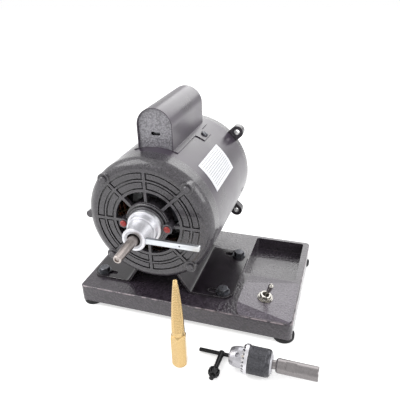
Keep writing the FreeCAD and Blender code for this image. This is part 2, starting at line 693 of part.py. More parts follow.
def motor_turned(name, profile):
    """A piece turned about the motor's axis, measured back from the base's front."""
    return turned(name, profile, (axis_x, base_front, axis_z))


vents = [block("vent_%d" % angle, (10, s.vent_length, s.vent_width),
               round_axis(s.shell_radius - 6, angle, s.shell_back - 8 - s.vent_length), about_axis(angle))
         for angle in (326, 336, 346, 194, 204, 214)]
screw_behind = s.cover_front + s.cover_tab_front + s.cover_tab_length * 0.6
screw_angles = (64.5, 115.5)
for number, angle in enumerate(screw_angles):
    hole_at = round_axis(s.shell_radius - 8, angle, screw_behind)
    vents.append(rod("shell_screw_hole_%d" % number, 2, 12, hole_at,
                     turn=FreeCAD.Rotation(FreeCAD.Vector(0, 1, 0), 90 - angle)))
shell_inner = s.shell_radius - s.shell_wall
keep(cut("motor_shell", motor_turned("shell_tube", [
    (shell_inner, s.shell_front), (s.shell_radius, s.shell_front),
    (s.shell_radius, s.shell_back), (shell_inner, s.shell_back)]), vents))

# Front endshield: a casting with a stepped hub, ring ribs, sunk panels between
# eight spokes, and eight windows. Its own origin is at the rib face.
spigot_radius = shell_inner - s.seat_gap
skirt_inner = shell_inner - s.skirt_wall
skirt = s.shell_front - s.face_inset
bearing_seat = s.bearing_radius + s.running_gap
bearing_front = 3.0
front_shield = body("front_endshield", (axis_x, base_front + s.face_inset, axis_z))
face_edge = s.shell_radius - s.face_round
ring_outer = s.shell_radius - s.rim_width
ring_middle = s.shell_radius * s.ring_middle_share
ring_inner = s.shell_radius * s.ring_inner_share
tie_circle = s.shell_radius - s.tie_inset
lip_front = -s.hub_reach - s.hub_lip
section = body_sketch(front_shield, "shield_section", "XY_Plane", [[
    (s.bearing_bore, -s.hub_reach), (s.hub_seat, -s.hub_reach), (s.hub_seat, lip_front),
    (s.hub_step - 0.4, lip_front), (s.hub_step, lip_front + 0.4), (s.hub_step, -1.7),
    (s.hub_step + 0.9, -1.7), (s.hub_step + 0.9, -2.7), (s.hub_foot - 0.6, -2.7),
    (s.hub_foot, -2.1), (s.hub_foot, 0), (face_edge, 0),
    (s.shell_radius, s.shield_round, 11.5, "left"), (s.shell_radius, skirt),
    (spigot_radius, skirt), (spigot_radius, skirt + s.spigot), (skirt_inner, skirt + s.spigot),
    (skirt_inner, s.shield_web + 4), (skirt_inner - 4, s.shield_web),
    (s.window_inner - 0.4, s.shield_web), (s.window_inner - 0.4, bearing_front + s.bearing_width),
    (bearing_seat, bearing_front + s.bearing_width), (bearing_seat, bearing_front),
    (s.bearing_bore, bearing_front)]])
turning = front_shield.newObject("PartDesign::Revolution", "shield_turning")
turning.Profile = section
turning.ReferenceAxis = (section, ["V_Axis"])
turning.Angle = 360
spoke_step = 360.0 / SIZES["spoke_count"]


def sector(inner_radius, outer_radius, half):
    """The outline between two spokes, its ends parallel to them."""
    inside = root(inner_radius * inner_radius - half * half)
    outside = root(outer_radius * outer_radius - half * half)
    c = math.cos(math.radians(spoke_step))
    d = math.sin(math.radians(spoke_step))
    return [
        (inside, half, inner_radius, "right"), (outside, half),
        (outside * c + half * d, outside * d - half * c, outer_radius, "left"),
        (inside * c + half * d, inside * d - half * c)]


def grooved(name, inner_radius, outer_radius):
    """A sunk groove round one panel, and the panel dropped a little below the ribs."""
    groove = s.groove_width
    ring = pocket(front_shield, name + "_groove", body_sketch(front_shield, name + "_plan", "XZ_Plane", [
        sector(inner_radius, outer_radius, s.spoke_half),
        sector(inner_radius + groove, outer_radius - groove, s.spoke_half + groove)]), s.groove_depth)
    face = body_sketch(front_shield, name + "_face", "XZ_Plane", [
        sector(inner_radius + groove / 2, outer_radius - groove / 2, s.spoke_half + groove / 2)])
    drop = pocket(front_shield, name + "_drop", face, s.panel_drop)
    return [ring, drop]


sunk = grooved("outer_panel", ring_middle + s.rib_width, ring_outer)
sunk += grooved("inner_panel", ring_inner + s.rib_width, ring_middle)
sunk.append(pocket(front_shield, "window", body_sketch(front_shield, "window_plan", "XZ_Plane", [
    sector(s.window_inner, ring_inner - s.window_rim, s.spoke_half)]), s.shield_web + 1))
repeat(front_shield, "eight_panels", sunk, s.spoke_count)
tie_angles = (45, 135, 225, 315)
tie_spots = [(tie_circle * math.cos(math.radians(angle)), tie_circle * math.sin(math.radians(angle)))
             for angle in tie_angles]
pad(front_shield, "tie_bosses", body_sketch(front_shield, "tie_boss_plan", "XZ_Plane", [
    ("circle", x, z, s.tie_boss) for x, z in tie_spots], -skirt), skirt + 0.8)
cap_spots = [(-s.cap_screw_offset, 0), (s.cap_screw_offset, 0)]
pad(front_shield, "cap_bosses", body_sketch(front_shield, "cap_boss_plan", "XZ_Plane", [
    ("circle", x, z, s.cap_boss) for x, z in cap_spots], -s.shield_web), s.shield_web + s.cap_boss_reach)
pad(front_shield, "rim_nub", body_sketch(front_shield, "nub_plan", "XZ_Plane", [
    ("circle", -s.shell_radius + 0.5, -1, 4.2)], -skirt), skirt - 4)
pocket(front_shield, "shaft_way", body_sketch(front_shield, "shaft_way_plan", "XZ_Plane", [
    ("circle", 0, 0, s.bearing_bore)], s.hub_reach + 1), s.hub_reach + 1 + bearing_front)
pocket(front_shield, "bearing_way", body_sketch(front_shield, "bearing_way_plan", "XZ_Plane", [
    ("circle", 0, 0, bearing_seat)], -bearing_front), s.bearing_width + 10)
pocket(front_shield, "tie_holes", body_sketch(front_shield, "tie_plan", "XZ_Plane", [
    ("circle", x, z, s.tie_radius + 0.2) for x, z in tie_spots], 2), skirt + 20)
pocket(front_shield, "cap_holes", body_sketch(front_shield, "cap_plan", "XZ_Plane", [
    ("circle", x, z, 1.8) for x, z in cap_spots], s.cap_boss_reach), 9)
keep(front_shield)

# Rear endshield: a casting with a blind hub, four drilled ears and two posts
# for the switch board.
ear_circle = s.shell_radius + s.ear_reach
ear_angles = (SIZES["ear_angle"], -SIZES["ear_angle"], 180 - SIZES["ear_angle"], 180 + SIZES["ear_angle"])
pieces = [motor_turned("rear_shield_turning", [
    (skirt_inner, s.shell_back - s.spigot), (spigot_radius, s.shell_back - s.spigot),
    (spigot_radius, s.shell_back), (s.shell_radius, s.shell_back),
    (s.shell_radius, s.shell_back + 9), (face_edge, motor_back - 3, 14, "left"),
    (s.hub_foot + 3, motor_back - 3), (s.hub_foot, motor_back), (0, motor_back),
    (0, motor_back - 4), (s.bearing_bore + 2, motor_back - 4), (s.bearing_bore + 2, motor_back - 5),
    (bearing_seat, motor_back - 5), (bearing_seat, motor_back - 5 - s.bearing_width - 2),
    (bearing_seat + 4, motor_back - 5 - s.bearing_width - 2), (bearing_seat + 4, motor_back - 8),
    (skirt_inner - 4, motor_back - 8), (skirt_inner, motor_back - 12)])]
for number, angle in enumerate(ear_angles):
    pieces.append(rod("ear_%d" % number, s.ear_radius, s.ear_sheet,
                      round_axis(ear_circle, angle, s.shell_back)))
    c = math.cos(math.radians(angle))
    d = math.sin(math.radians(angle))
    reach = skirt_inner + 1
    pieces.append(block("ear_web_%d" % number, (ear_circle - reach, s.ear_sheet, s.ear_radius * 2), (
        axis_x + reach * c + s.ear_radius * d, base_front + s.shell_back,
        axis_z + reach * d - s.ear_radius * c), about_axis(angle)))
for side in (-1, 1):
    pieces.append(rod("board_post_%d" % side, 3.5, motor_back - 7 - s.shell_back + 6,
                      (axis_x + side * 38, base_front + s.shell_back - 6, axis_z)))
for angle in tie_angles:
    pieces.append(rod("nut_pad_%d" % angle, 5.5, motor_back - 3 - s.shell_back,
                      round_axis(tie_circle, angle, s.shell_back)))
drills = [rod("ear_hole_%d" % number, s.ear_hole, 20, round_axis(ear_circle, angle, s.shell_back - 5))
          for number, angle in enumerate(ear_angles)]
drills += [rod("tie_end_%d" % angle, s.tie_radius + 0.2, 40,
               round_axis(tie_circle, angle, s.shell_back - 10)) for angle in tie_angles]
keep(cut("rear_endshield", fused("rear_shield_solid", pieces), drills))

# Four tie bolts with round heads in front and nuts behind, and two hub screws.
tie_front = s.face_inset - 0.8
tie_bolts = []
tie_nuts = []
for angle in tie_angles:
    tie_bolts.append(turned("tie_bolt_%d" % angle, [
        (0, tie_front - 2.6), (s.tie_head - 1, tie_front - 2.6), (s.tie_head, tie_front - 1.6),
        (s.tie_head, tie_front), (s.tie_radius, tie_front), (s.tie_radius, tie_tail),
        (0, tie_tail)], round_axis(tie_circle, angle, 0)))
    tie_nuts.append(extruded("tie_nut_%d" % angle, [hexagon(Size(8.7)), (
        "circle", 0, 0, s.tie_radius + s.running_gap)], 3.4,
        round_axis(tie_circle, angle, motor_back - 3), "y"))
keep(group("tie_bolts", tie_bolts))
keep(group("tie_nuts", tie_nuts))
boss_face = s.face_inset - s.cap_boss_reach
keep(group("hub_screws", [turned("hub_screw_%d" % side, [
    (0, boss_face - 2.4), (1.6, boss_face - 2.3), (s.cap_screw_head, boss_face - 0.8, 3.4, "left"),
    (s.cap_screw_head, boss_face), (1.75, boss_face), (1.75, boss_face + 6.5), (0, boss_face + 6.5)],
    (axis_x + side * s.cap_screw_offset, base_front, axis_z)) for side in (-1, 1)]))


# Ball bearings: outer rings in the shields, inner rings on the shaft.

def bearing(where, front):
    """One ball bearing: its two rings and its balls."""
    behind = front + s.bearing_width
    inner_race = s.bearing_bore + s.race_wall
    outer_race = s.bearing_radius - s.race_wall
    keep(motor_turned(where + "_bearing_outer", [
        (outer_race, front), (s.bearing_radius, front), (s.bearing_radius, behind), (outer_race, behind)]))
    keep(motor_turned(where + "_bearing_inner", [
        (s.bearing_bore + 0.01, front), (inner_race, front), (inner_race, behind),
        (s.bearing_bore + 0.01, behind)]))
    count = SIZES["ball_count"]
    pitch = (s.bearing_radius + s.bearing_bore) / 2
    keep(group(where + "_bearing_balls", [
        ball("%s_ball_%d" % (where, number), s.ball_radius - s.running_gap, round_axis(
            pitch, 360.0 * number / count, front + s.bearing_width / 2)) for number in range(count)]))


front_seat = s.face_inset + bearing_front
rear_seat = motor_back - 5 - s.bearing_width
bearing("front", front_seat)
bearing("rear", rear_seat)

# Stator: a laminated core with channels for the tie bolts, and its end turns.
core_back = s.core_front + s.core_length
core_bore_radius = s.shell_radius * s.core_bore_share
winding_inner = core_bore_radius + s.winding_inset
winding_outer = s.shell_radius - s.winding_gap
channels = [rod("channel_%d" % angle, s.tie_radius + 0.5, s.core_length + 4,
                round_axis(tie_circle, angle, s.core_front - 2)) for angle in tie_angles]
keep(cut("stator_core", motor_turned("stator_ring", [
    (core_bore_radius, s.core_front), (shell_inner - s.seat_gap, s.core_front),
    (shell_inner - s.seat_gap, core_back), (core_bore_radius, core_back)]), channels))


def end_turns(name, start, sign):
    """The rounded bundle of wire that stands out of one end of the core."""
    tip = start + sign * s.winding_reach
    side = "left" if sign > 0 else "right"
    begin = start + sign * 0.05
    crown = 6
    return motor_turned(name, [
        (winding_inner, begin), (winding_outer, begin), (winding_outer, tip - sign * crown),
        (winding_outer - crown, tip, crown, side), (winding_inner + crown, tip),
        (winding_inner, tip - sign * crown, crown, side)])


keep(group("stator_winding", [
    end_turns("front_turns", s.core_front, -1), end_turns("rear_turns", core_back, 1)]))

# Rotor: shaft with its tapered nose, laminated core and two bladed end rings.
shaft_seat = s.bearing_bore
taper_end = 18 - s.ejector_reach
taper_slope = (s.nose_radius - s.nose_tip_radius) / (s.nose_reach - 0.6 + taper_end)
keep(motor_turned("shaft", [
    (0, -s.nose_reach + 3), (s.centre_radius, -s.nose_reach + 2), (s.centre_radius, -s.nose_reach),
    (s.nose_tip_radius - 0.6, -s.nose_reach), (s.nose_tip_radius, -s.nose_reach + 0.6),
    (s.nose_radius, taper_end), (s.nose_radius, front_seat - 4),
    (shaft_seat - 0.6, front_seat - 4), (shaft_seat - 0.6, front_seat - 0.5),
    (shaft_seat, front_seat - 0.5), (shaft_seat, motor_back - 5), (shaft_seat - 1, motor_back - 4.5),
    (0, motor_back - 4.5)]))
rotor_radius = core_bore_radius - s.air_gap
keep(motor_turned("rotor_core", [
    (shaft_seat + 0.03, s.core_front), (rotor_radius, s.core_front),
    (rotor_radius, core_back), (shaft_seat + 0.03, core_back)]))
fans = []
for where, start, sign in (("front", s.core_front, -1), ("rear", core_back, 1)):
    tip = start + sign * s.end_ring_length
    fan = [motor_turned(where + "_end_ring", [
        (rotor_radius - 12, start), (rotor_radius - 0.5, start), (rotor_radius - 1.5, tip),
        (rotor_radius - 12, tip)])]
    low = tip - 1 if sign > 0 else tip - s.blade_reach
    for number in range(SIZES["blade_count"]):
        angle = 360.0 * number / SIZES["blade_count"]
        fan.append(block("%s_blade_%d" % (where, number), (9, s.blade_reach + 1, s.blade_sheet),
                         round_axis(rotor_radius - 11.5, angle, low), about_axis(angle)))
    fans.append(fused(where + "_fan", fan))
keep(group("rotor_end_rings", fans))

# Starting gear: a governor on the shaft draws its collar off a fixed switch board.
governor_back = s.governor_front + s.governor_length
keep(motor_turned("governor", [
    (shaft_seat + 0.01, s.governor_front), (s.governor_radius, s.governor_front),
    (s.governor_radius, s.governor_front + 3), (s.collar_radius, governor_back),
    (shaft_seat + 0.01, governor_back)]))
collar_back = s.collar_front + s.collar_length
keep(motor_turned("governor_collar", [
    (shaft_seat + s.running_gap, s.collar_front), (s.collar_radius - 3, s.collar_front),
    (s.collar_radius, s.collar_front + 2), (s.collar_radius, collar_back),
    (shaft_seat + s.running_gap, collar_back)]))
board_front = s.shell_back - s.spigot - s.board_sheet
board = motor_turned("board_ring", [
    (s.collar_radius - 2, board_front), (s.board_half, board_front),
    (s.board_half, board_front + s.board_sheet), (s.collar_radius - 2, board_front + s.board_sheet)])
board_trim = block("board_trim", (s.board_half * 2, s.board_sheet * 3, s.board_half * 1.2), (
    axis_x - s.board_half, base_front + board_front - s.board_sheet, axis_z - s.board_half * 0.6))
keep(common("start_switch", board, board_trim))

# Ejector: a fixed sleeve on the hub, a turning collar with its lever, and the
# thrust sleeve that the collar drives forward to push a tool off the taper.
hub_face = s.face_inset - s.hub_reach
tube_inner = s.thrust_outer + s.running_gap
collar_bore = s.ejector_tube + s.running_gap
lever_y = base_front - s.ejector_reach + s.lever_set_back
lever_root = collar_bore + 0.35
keep(motor_turned("ejector_body", [
    (tube_inner, 2 - s.ejector_reach), (s.ejector_tube, 2 - s.ejector_reach),
    (s.ejector_tube, -s.ejector_flange_reach), (s.ejector_flange - 0.8, -s.ejector_flange_reach),
    (s.ejector_flange, 0.8 - s.ejector_flange_reach), (s.ejector_flange + 0.4, -3),
    (s.ejector_base - 0.5, -2.4), (s.ejector_base, -1.9), (s.ejector_base, hub_face),
    (tube_inner, hub_face)]))
lever_slot = block("lever_slot", (5, s.lever_sheet + 0.1, s.lever_height + 0.1), (
    axis_x + lever_root - 0.05, lever_y - 0.05, axis_z - s.lever_height / 2 - 0.05))
keep(cut("ejector_collar", motor_turned("collar_blank", [
    (tube_inner, -s.ejector_reach), (s.ejector_radius - 0.5, -s.ejector_reach),
    (s.ejector_radius, 0.5 - s.ejector_reach), (s.ejector_radius, -s.ejector_flange_reach - 9),
    (s.ejector_radius + 0.6, -s.ejector_flange_reach - 4),
    (s.ejector_radius + 2, -s.ejector_flange_reach - 0.3),
    (collar_bore, -s.ejector_flange_reach - 0.3),
    (collar_bore, 1.9 - s.ejector_reach), (tube_inner, 1.9 - s.ejector_reach)]), [lever_slot]))
lever_bar = extruded("lever_bar", [[
    (lever_root, -s.lever_height / 2), (s.lever_length - 2, -s.lever_height / 2),
    (s.lever_length, 2 - s.lever_height / 2, 2, "left"), (s.lever_length, s.lever_height / 2 - 1),
    (s.lever_length - 1, s.lever_height / 2, 1, "left"), (lever_root, s.lever_height / 2)]],
    s.lever_sheet, (axis_x, lever_y, axis_z), "y")
pin_x = axis_x + s.lever_length * 0.7
keep(cut("ejector_lever", lever_bar, [rod("lever_pin_hole", 0.8, 10, (pin_x, lever_y - 2, axis_z))]))
keep(rod("lever_pin", 0.79, s.lever_sheet + 0.4, (pin_x, lever_y - 0.2, axis_z)))
keep(motor_turned("thrust_sleeve", [
    (s.thrust_inner, 0.6 - s.ejector_reach), (s.thrust_inner + 0.5, 0.1 - s.ejector_reach),
    (s.thrust_outer, 0.1 - s.ejector_reach), (s.thrust_outer, s.thrust_length - s.ejector_reach),
    (s.thrust_inner, s.thrust_length - s.ejector_reach)]))

# Capacitor on the shell, under an arched cover closed by a sunk front plate.
cover_at = (axis_x, base_front + s.cover_front, axis_z)
cover_arch = s.shell_radius + s.cover_rise
cover_back = s.cover_front + s.cover_length
cover_inner = s.cover_half - s.cover_wall
flange_under = s.shell_radius + 0.05
flange_over = flange_under + s.cover_wall
foot_level = s.shell_radius - 6


def arched(half, foot):
    """An arch over the motor, its feet at a height above the motor's axis."""
    return [(half, foot), (half, cover_arch), (0, cover_arch + half, half, "left"),
            (-half, cover_arch, half, "left"), (-half, foot)]


def inside_arch(name, ahead, length):
    at = (axis_x, base_front + s.cover_front + ahead, axis_z)
    return extruded(name, [arched(cover_inner, foot_level - 1)], length, at, "y")


def flange_part(name, half, ahead, length):
    return block(name, (half * 2, length, s.shell_radius * 0.6), (
        axis_x - half, base_front + s.cover_front + ahead, axis_z + s.shell_radius * 0.57))


shell_space = motor_turned("cover_shell_space", [
    (0, 0), (flange_under, 0), (flange_under, 300), (0, 300)])
can = cut("cover_can", extruded(
    "cover_outside", [arched(s.cover_half, foot_level)], s.cover_length, cover_at, "y"),
          [inside_arch("cover_inside", -1, s.cover_length + 1 - s.cover_wall), shell_space])
saddle_strip = motor_turned("cover_saddle", [
    (flange_under, s.cover_front), (flange_over, s.cover_front),
    (flange_over, cover_back), (flange_under, cover_back)])
lips = fused("cover_lips", [
    flange_part("cover_side_lips", s.cover_half + s.cover_flange, 0, s.cover_length),
    flange_part("cover_tab_lips", s.cover_half + s.cover_flange + s.cover_tab, s.cover_tab_front,
                s.cover_tab_length)])
rim_strip = cut("cover_rim", common("cover_flange", saddle_strip, lips), [
    inside_arch("cover_mouth", -1, s.cover_length + 1 - s.cover_wall)])
screw_holes = []
cover_screws = []
for number, angle in enumerate(screw_angles):
    radial = FreeCAD.Rotation(FreeCAD.Vector(0, 1, 0), 90 - angle)
    screw_holes.append(rod("cover_screw_hole_%d" % number, 2.1, 8,
                           round_axis(s.shell_radius - 4, angle, screw_behind), turn=radial))
    cover_screws.append(turned("cover_screw_%d" % number, [
        (0, -1.6), (1.9, -1.6), (1.9, s.cover_wall + 0.1), (4.1, s.cover_wall + 0.1),
        (4.1, s.cover_wall + 1.3), (3, s.cover_wall + 2.2), (0, s.cover_wall + 2.5)],
        round_axis(flange_under, angle, screw_behind), turn=radial.multiply(TURNED_AXES["z"])))
keep(cut("capacitor_cover", fused("cover_body", [can, rim_strip]), screw_holes))
keep(group("cover_screws", cover_screws))
knockout = extruded("cover_knockout", [[
    (-s.knockout_half, -s.knockout_radius, s.knockout_radius, "left"), (s.knockout_half, -s.knockout_radius),
    (s.knockout_half + s.knockout_radius, 0, s.knockout_radius, "left"),
    (s.knockout_half, s.knockout_radius, s.knockout_radius, "left"), (-s.knockout_half, s.knockout_radius),
    (-s.knockout_half - s.knockout_radius, 0, s.knockout_radius, "left")]], 20,
    (axis_x, base_front + s.cover_front - 5, axis_z + cover_arch - 8), "y")
keep(cut("cover_front_plate", extruded(
    "plate_blank", [arched(cover_inner - s.seat_gap, foot_level)], 1.2,
    (axis_x, base_front + s.cover_front + s.plate_recess, axis_z), "y"), [shell_space, knockout]))
keep(rod("capacitor", s.capacitor_radius, s.capacitor_length, (
    axis_x, base_front + s.cover_front + s.plate_recess + 5,
    axis_z + s.shell_radius + s.capacitor_radius + s.seat_gap)))

# Rating plate, bare, laid round the shell's upper right.
plate_ring = motor_turned("plate_ring", [
    (s.shell_radius + 0.02, s.plate_front), (s.shell_radius + s.plate_sheet, s.plate_front),
    (s.shell_radius + s.plate_sheet, s.plate_front + s.plate_length),
    (s.shell_radius + 0.02, s.plate_front + s.plate_length)])
plate_wedge = extruded("plate_wedge", [[
    (0, 0), (s.shell_radius * 2 * cosine(s.plate_low), s.shell_radius * 2 * sine(s.plate_low)),
    (s.shell_radius * 2 * cosine(s.plate_high), s.shell_radius * 2 * sine(s.plate_high))]],
    s.base_depth, (axis_x, base_front, axis_z), "y")
keep(common("rating_plate", plate_ring, plate_wedge))


# Brass polishing spindle, standing on its hexagon. Its taper carries the wheels.

def socket(depth):
    """The tapered hole that fits over the motor's nose, as radius and depth."""
    mouth = s.nose_tip_radius + depth * taper_slope
    return [(0, -0.5), (mouth, -0.5), (mouth, 0), (s.nose_tip_radius, depth), (0, depth)]


spindle_at = (base_left + s.spindle_across, base_front - s.spindle_before, 0)
half_flats = s.spindle_flats / 2
hex_corner = s.spindle_flats / math.sqrt(3)
hex_blank = extruded("spindle_hex_blank", [hexagon(s.spindle_flats)], s.spindle_hex + 4, spindle_at,
                     turn=FreeCAD.Rotation(FreeCAD.Vector(0, 0, 1), 12))
hex_crown = turned("spindle_hex_crown", [
    (0, 0), (half_flats - 0.3, 0), (hex_corner + 0.1, 2.6), (hex_corner + 0.1, s.spindle_hex - 0.5),
    (half_flats - 0.4, s.spindle_hex + 3), (0, s.spindle_hex + 3)], spindle_at, "z")
cone = turned("spindle_cone", [
    (0, s.spindle_hex - 3), (half_flats - 0.6, s.spindle_hex - 3), (half_flats - 0.6, s.spindle_hex + 3),
    (s.spindle_tip, s.spindle_height - 1.6, s.spindle_bow, "left"),
    (s.spindle_tip - 1.3, s.spindle_height, 1.8, "left"), (0, s.spindle_height)], spindle_at, "z")
keep(cut("polishing_spindle", fused("spindle_solid", [common("spindle_hex", hex_blank, hex_crown), cone]), [
    turned("spindle_socket", socket(s.socket_depth), spindle_at, "z")]))

# Drill chuck, lying on its toothed ring, its nose to the left.
chuck_x = base_left + s.chuck_across
chuck_y = base_front - s.chuck_before
chuck_z = s.ring_radius
chuck_at = (chuck_x, chuck_y, chuck_z)
jaw_slope = sine(s.jaw_angle) / cosine(s.jaw_angle)
core_bore = s.core_radius + s.running_gap
nut_end = s.nut_start + s.nut_length


def jaw_outside(place_along):
    """How far the jaws' outer faces stand off the chuck's axis at a place along it."""
    return (s.jaw_offset + (place_along - s.jaw_inset) * jaw_slope
            + s.jaw_radius / cosine(s.jaw_angle) + s.running_gap)


def round_chuck(radius, angle, along):
    return (chuck_x + along, chuck_y + radius * math.cos(math.radians(angle)),
            chuck_z + radius * math.sin(math.radians(angle)))


jaw_angles = (65, 185, 305)
lean_back = math.radians(SIZES["jaw_angle"])


def jaw_rod(name, radius, angle, start, length):
    """A rod on one jaw's slanted line, from a place along that line."""
    c = math.cos(math.radians(angle))
    d = math.sin(math.radians(angle))
    aim = FreeCAD.Vector(math.cos(lean_back), math.sin(lean_back) * c, math.sin(lean_back) * d)
    spot = round_chuck(s.jaw_offset + start * sine(s.jaw_angle), angle,
                       s.jaw_inset + start * cosine(s.jaw_angle))
    return rod(name, radius, length, spot, turn=FreeCAD.Rotation(FreeCAD.Vector(0, 0, 1), aim))


holes = [jaw_rod("jaw_hole_%d" % angle, s.jaw_radius + s.running_gap, angle, Size(-6),
                 s.jaw_length + s.jaw_travel + 8) for angle in jaw_angles]
for angle in (125, 245, 5):
    outward = FreeCAD.Vector(0, math.cos(math.radians(angle)), math.sin(math.radians(angle)))
    holes.append(rod("key_hole_%d" % angle, s.key_pilot_radius + 0.1, 8, round_chuck(6.6, angle, Size(9)),
                     turn=FreeCAD.Rotation(FreeCAD.Vector(0, 0, 1), outward)))
keep(cut("chuck_body", turned("chuck_body_blank", [
    (s.chuck_bore, 0), (s.chuck_nose - 4.6, 0), (s.chuck_nose - 1.8, 1.6, 4, "left"),
    (s.chuck_nose - 0.6, 5), (s.chuck_nose, 8.5), (s.chuck_nose, s.ring_start - 0.3),
    (s.core_radius, s.ring_start - 0.3), (s.core_radius, s.nut_start - 0.2),
    (jaw_outside(s.nut_start) - 0.25, s.nut_start - 0.2), (jaw_outside(s.nut_start) - 0.25, nut_end + 0.2),
    (s.core_radius, nut_end + 0.2), (s.core_radius, s.sleeve_end), (s.core_radius - 1.5, s.chuck_length),
    (s.arbor_radius + s.running_gap, s.chuck_length), (s.arbor_radius + s.running_gap, s.recess_end + 0.5),
    (0, s.recess_end + 0.5), (0, s.recess_end - 7), (s.chuck_bore, s.recess_end - 7)],
    chuck_at, "x"), holes))
keep(turned("chuck_sleeve", [
    (core_bore, s.ring_start + 0.2), (s.sleeve_radius - 1.6, s.ring_start + 0.2),
    (s.sleeve_radius - 1.6, s.ring_start + s.ring_length), (s.sleeve_radius, s.ring_start + s.ring_length),
    (s.sleeve_radius, s.sleeve_end - 1), (s.sleeve_radius - 1.4, s.sleeve_end), (core_bore, s.sleeve_end),
    (core_bore, s.recess_end), (s.sleeve_recess, s.recess_end), (s.sleeve_recess, s.nut_start),
    (core_bore, s.nut_start)], chuck_at, "x"))
keep(turned("chuck_nut", [
    (jaw_outside(s.nut_start), s.nut_start + 0.05), (s.sleeve_recess - 0.02, s.nut_start + 0.05),
    (s.sleeve_recess - 0.02, nut_end), (jaw_outside(nut_end), nut_end)], chuck_at, "x"))
ring_blank = turned("tooth_ring_blank", [
    (s.sleeve_radius - 1.55, s.ring_start), (s.ring_radius - 1.6, s.ring_start),
    (s.ring_radius, s.ring_start + 2.4), (s.ring_radius, s.ring_start + s.ring_length - 0.6),
    (s.ring_radius - 0.6, s.ring_start + s.ring_length - 0.03),
    (s.sleeve_radius - 1.55, s.ring_start + s.ring_length - 0.03)], chuck_at, "x")
notches = []
for number in range(SIZES["tooth_count"]):
    angle = 360.0 * number / SIZES["tooth_count"]
    c = math.cos(math.radians(angle))
    d = math.sin(math.radians(angle))
    reach = s.ring_radius - s.tooth_depth
    notches.append(block("tooth_gap_%d" % number, (3.4, 1.7, 4), (
        chuck_x + s.ring_start - 0.6, chuck_y + reach * c - 0.85 * d, chuck_z + reach * d + 0.85 * c),
        FreeCAD.Rotation(FreeCAD.Vector(1, 0, 0), angle - 90)))
keep(cut("chuck_tooth_ring", ring_blank, notches))
for number, angle in enumerate(jaw_angles, start=1):
    wedge_shape = extruded("jaw_wedge_%d" % number, [[(0.12, 0), (20, -34), (20, 34)]], s.chuck_length, (
        chuck_x - 2, chuck_y, chuck_z),
        turn=FreeCAD.Rotation(FreeCAD.Vector(1, 0, 0), angle).multiply(DRAWN_AXES["x"]))
    bar = jaw_rod("jaw_bar_%d" % number, s.jaw_radius, angle, Size(0), s.jaw_length)
    keep(common("chuck_jaw_%d" % number, bar, wedge_shape))

# Adapter that carries the chuck on the nose: a plug, a turned body with two
# flats, and a tapered socket in its end.
adapter_start = s.chuck_length + s.arbor_reach
adapter_end = adapter_start + s.adapter_length
adapter_blank = turned("adapter_blank", [
    (0, s.recess_end + 1), (s.arbor_radius, s.recess_end + 1), (s.arbor_radius, adapter_start),
    (s.adapter_radius - 1.4, adapter_start), (s.adapter_radius, adapter_start + 1.6),
    (s.adapter_radius, adapter_end - 0.8), (s.adapter_radius - 0.5, adapter_end), (0, adapter_end)],
    chuck_at, "x")
flats = []
for angle in (125, 305):
    c = math.cos(math.radians(angle))
    d = math.sin(math.radians(angle))
    reach = s.adapter_flats / 2
    flats.append(block("adapter_flat_%d" % angle, (s.flats_length, s.adapter_radius * 2, 5), (
        chuck_x + adapter_start + s.flats_start, chuck_y + reach * c - s.adapter_radius * d,
        chuck_z + reach * d + s.adapter_radius * c), FreeCAD.Rotation(FreeCAD.Vector(1, 0, 0), angle - 90)))
adapter_socket = turned("adapter_socket", socket(s.socket_depth), (
    chuck_x + adapter_end, chuck_y, chuck_z), turn=FreeCAD.Rotation(FreeCAD.Vector(0, 0, 1), 90))
keep(cut("chuck_adapter", adapter_blank, flats + [adapter_socket]))

# Chuck key, lying on its hub and on the edge of its pinion.
key_turn = FreeCAD.Rotation(FreeCAD.Vector(1, 0, 0), -key_tilt.number)
key_at = (base_left + s.key_across, base_front - s.key_before, key_rise)
pinion_end = s.key_pinion_start + s.key_pinion_length
stem = turned("key_stem_blank", [
    (0, s.key_hub_back + 1.2), (s.key_hub_radius, s.key_hub_back), (s.key_hub_radius, -2.6),
    (s.key_stem_radius, -5), (s.key_stem_radius * 0.86, -s.key_pinion_start),
    (s.key_pinion_radius - 0.9, -s.key_pinion_start), (s.key_pinion_radius, -s.key_pinion_start - 0.9),
    (s.key_pinion_radius, 3.2 - pinion_end), (s.key_pinion_radius - 2.2, -pinion_end),
    (s.key_pilot_radius, -pinion_end), (s.key_pilot_radius, 0.6 - s.key_length),
    (s.key_pilot_radius - 0.6, -s.key_length), (0, -s.key_length)][::-1], key_at, turn=key_turn)
key_gaps = [rod("key_bar_hole", s.key_bar_radius + s.running_gap, 12, (
    key_at[0] - 6, key_at[1], key_at[2]), "x")]
pinion_at = (key_at[1] - s.key_pinion_start * cosine(key_tilt),
             key_at[2] + s.key_pinion_start * sine(key_tilt))
for number in range(SIZES["key_tooth_count"]):
    angle = 360.0 * number / SIZES["key_tooth_count"]
    spin = FreeCAD.Rotation(FreeCAD.Vector(0, 1, 0), -angle)
    turn = key_turn.multiply(spin)
    offset = FreeCAD.Vector(SIZES["key_pinion_radius"] - 1.7, -SIZES["key_pinion_length"] - 1, -0.8)
    shift = turn.multVec(offset)
    key_gaps.append(block("key_tooth_gap_%d" % number, (3, s.key_pinion_length + 0.9, 1.6), (
        key_at[0] + shift.x, pinion_at[0] + shift.y, pinion_at[1] + shift.z), turn))
keep(cut("key_stem", stem, key_gaps))
keep(turned("key_bar", [
    (0, -s.key_bar_half), (s.key_bar_radius - 0.5, -s.key_bar_half), (s.key_bar_radius, 0.5 - s.key_bar_half),
    (s.key_bar_radius, s.key_bar_half - 0.5), (s.key_bar_radius - 0.5, s.key_bar_half),
    (0, s.key_bar_half)], key_at, "x"))

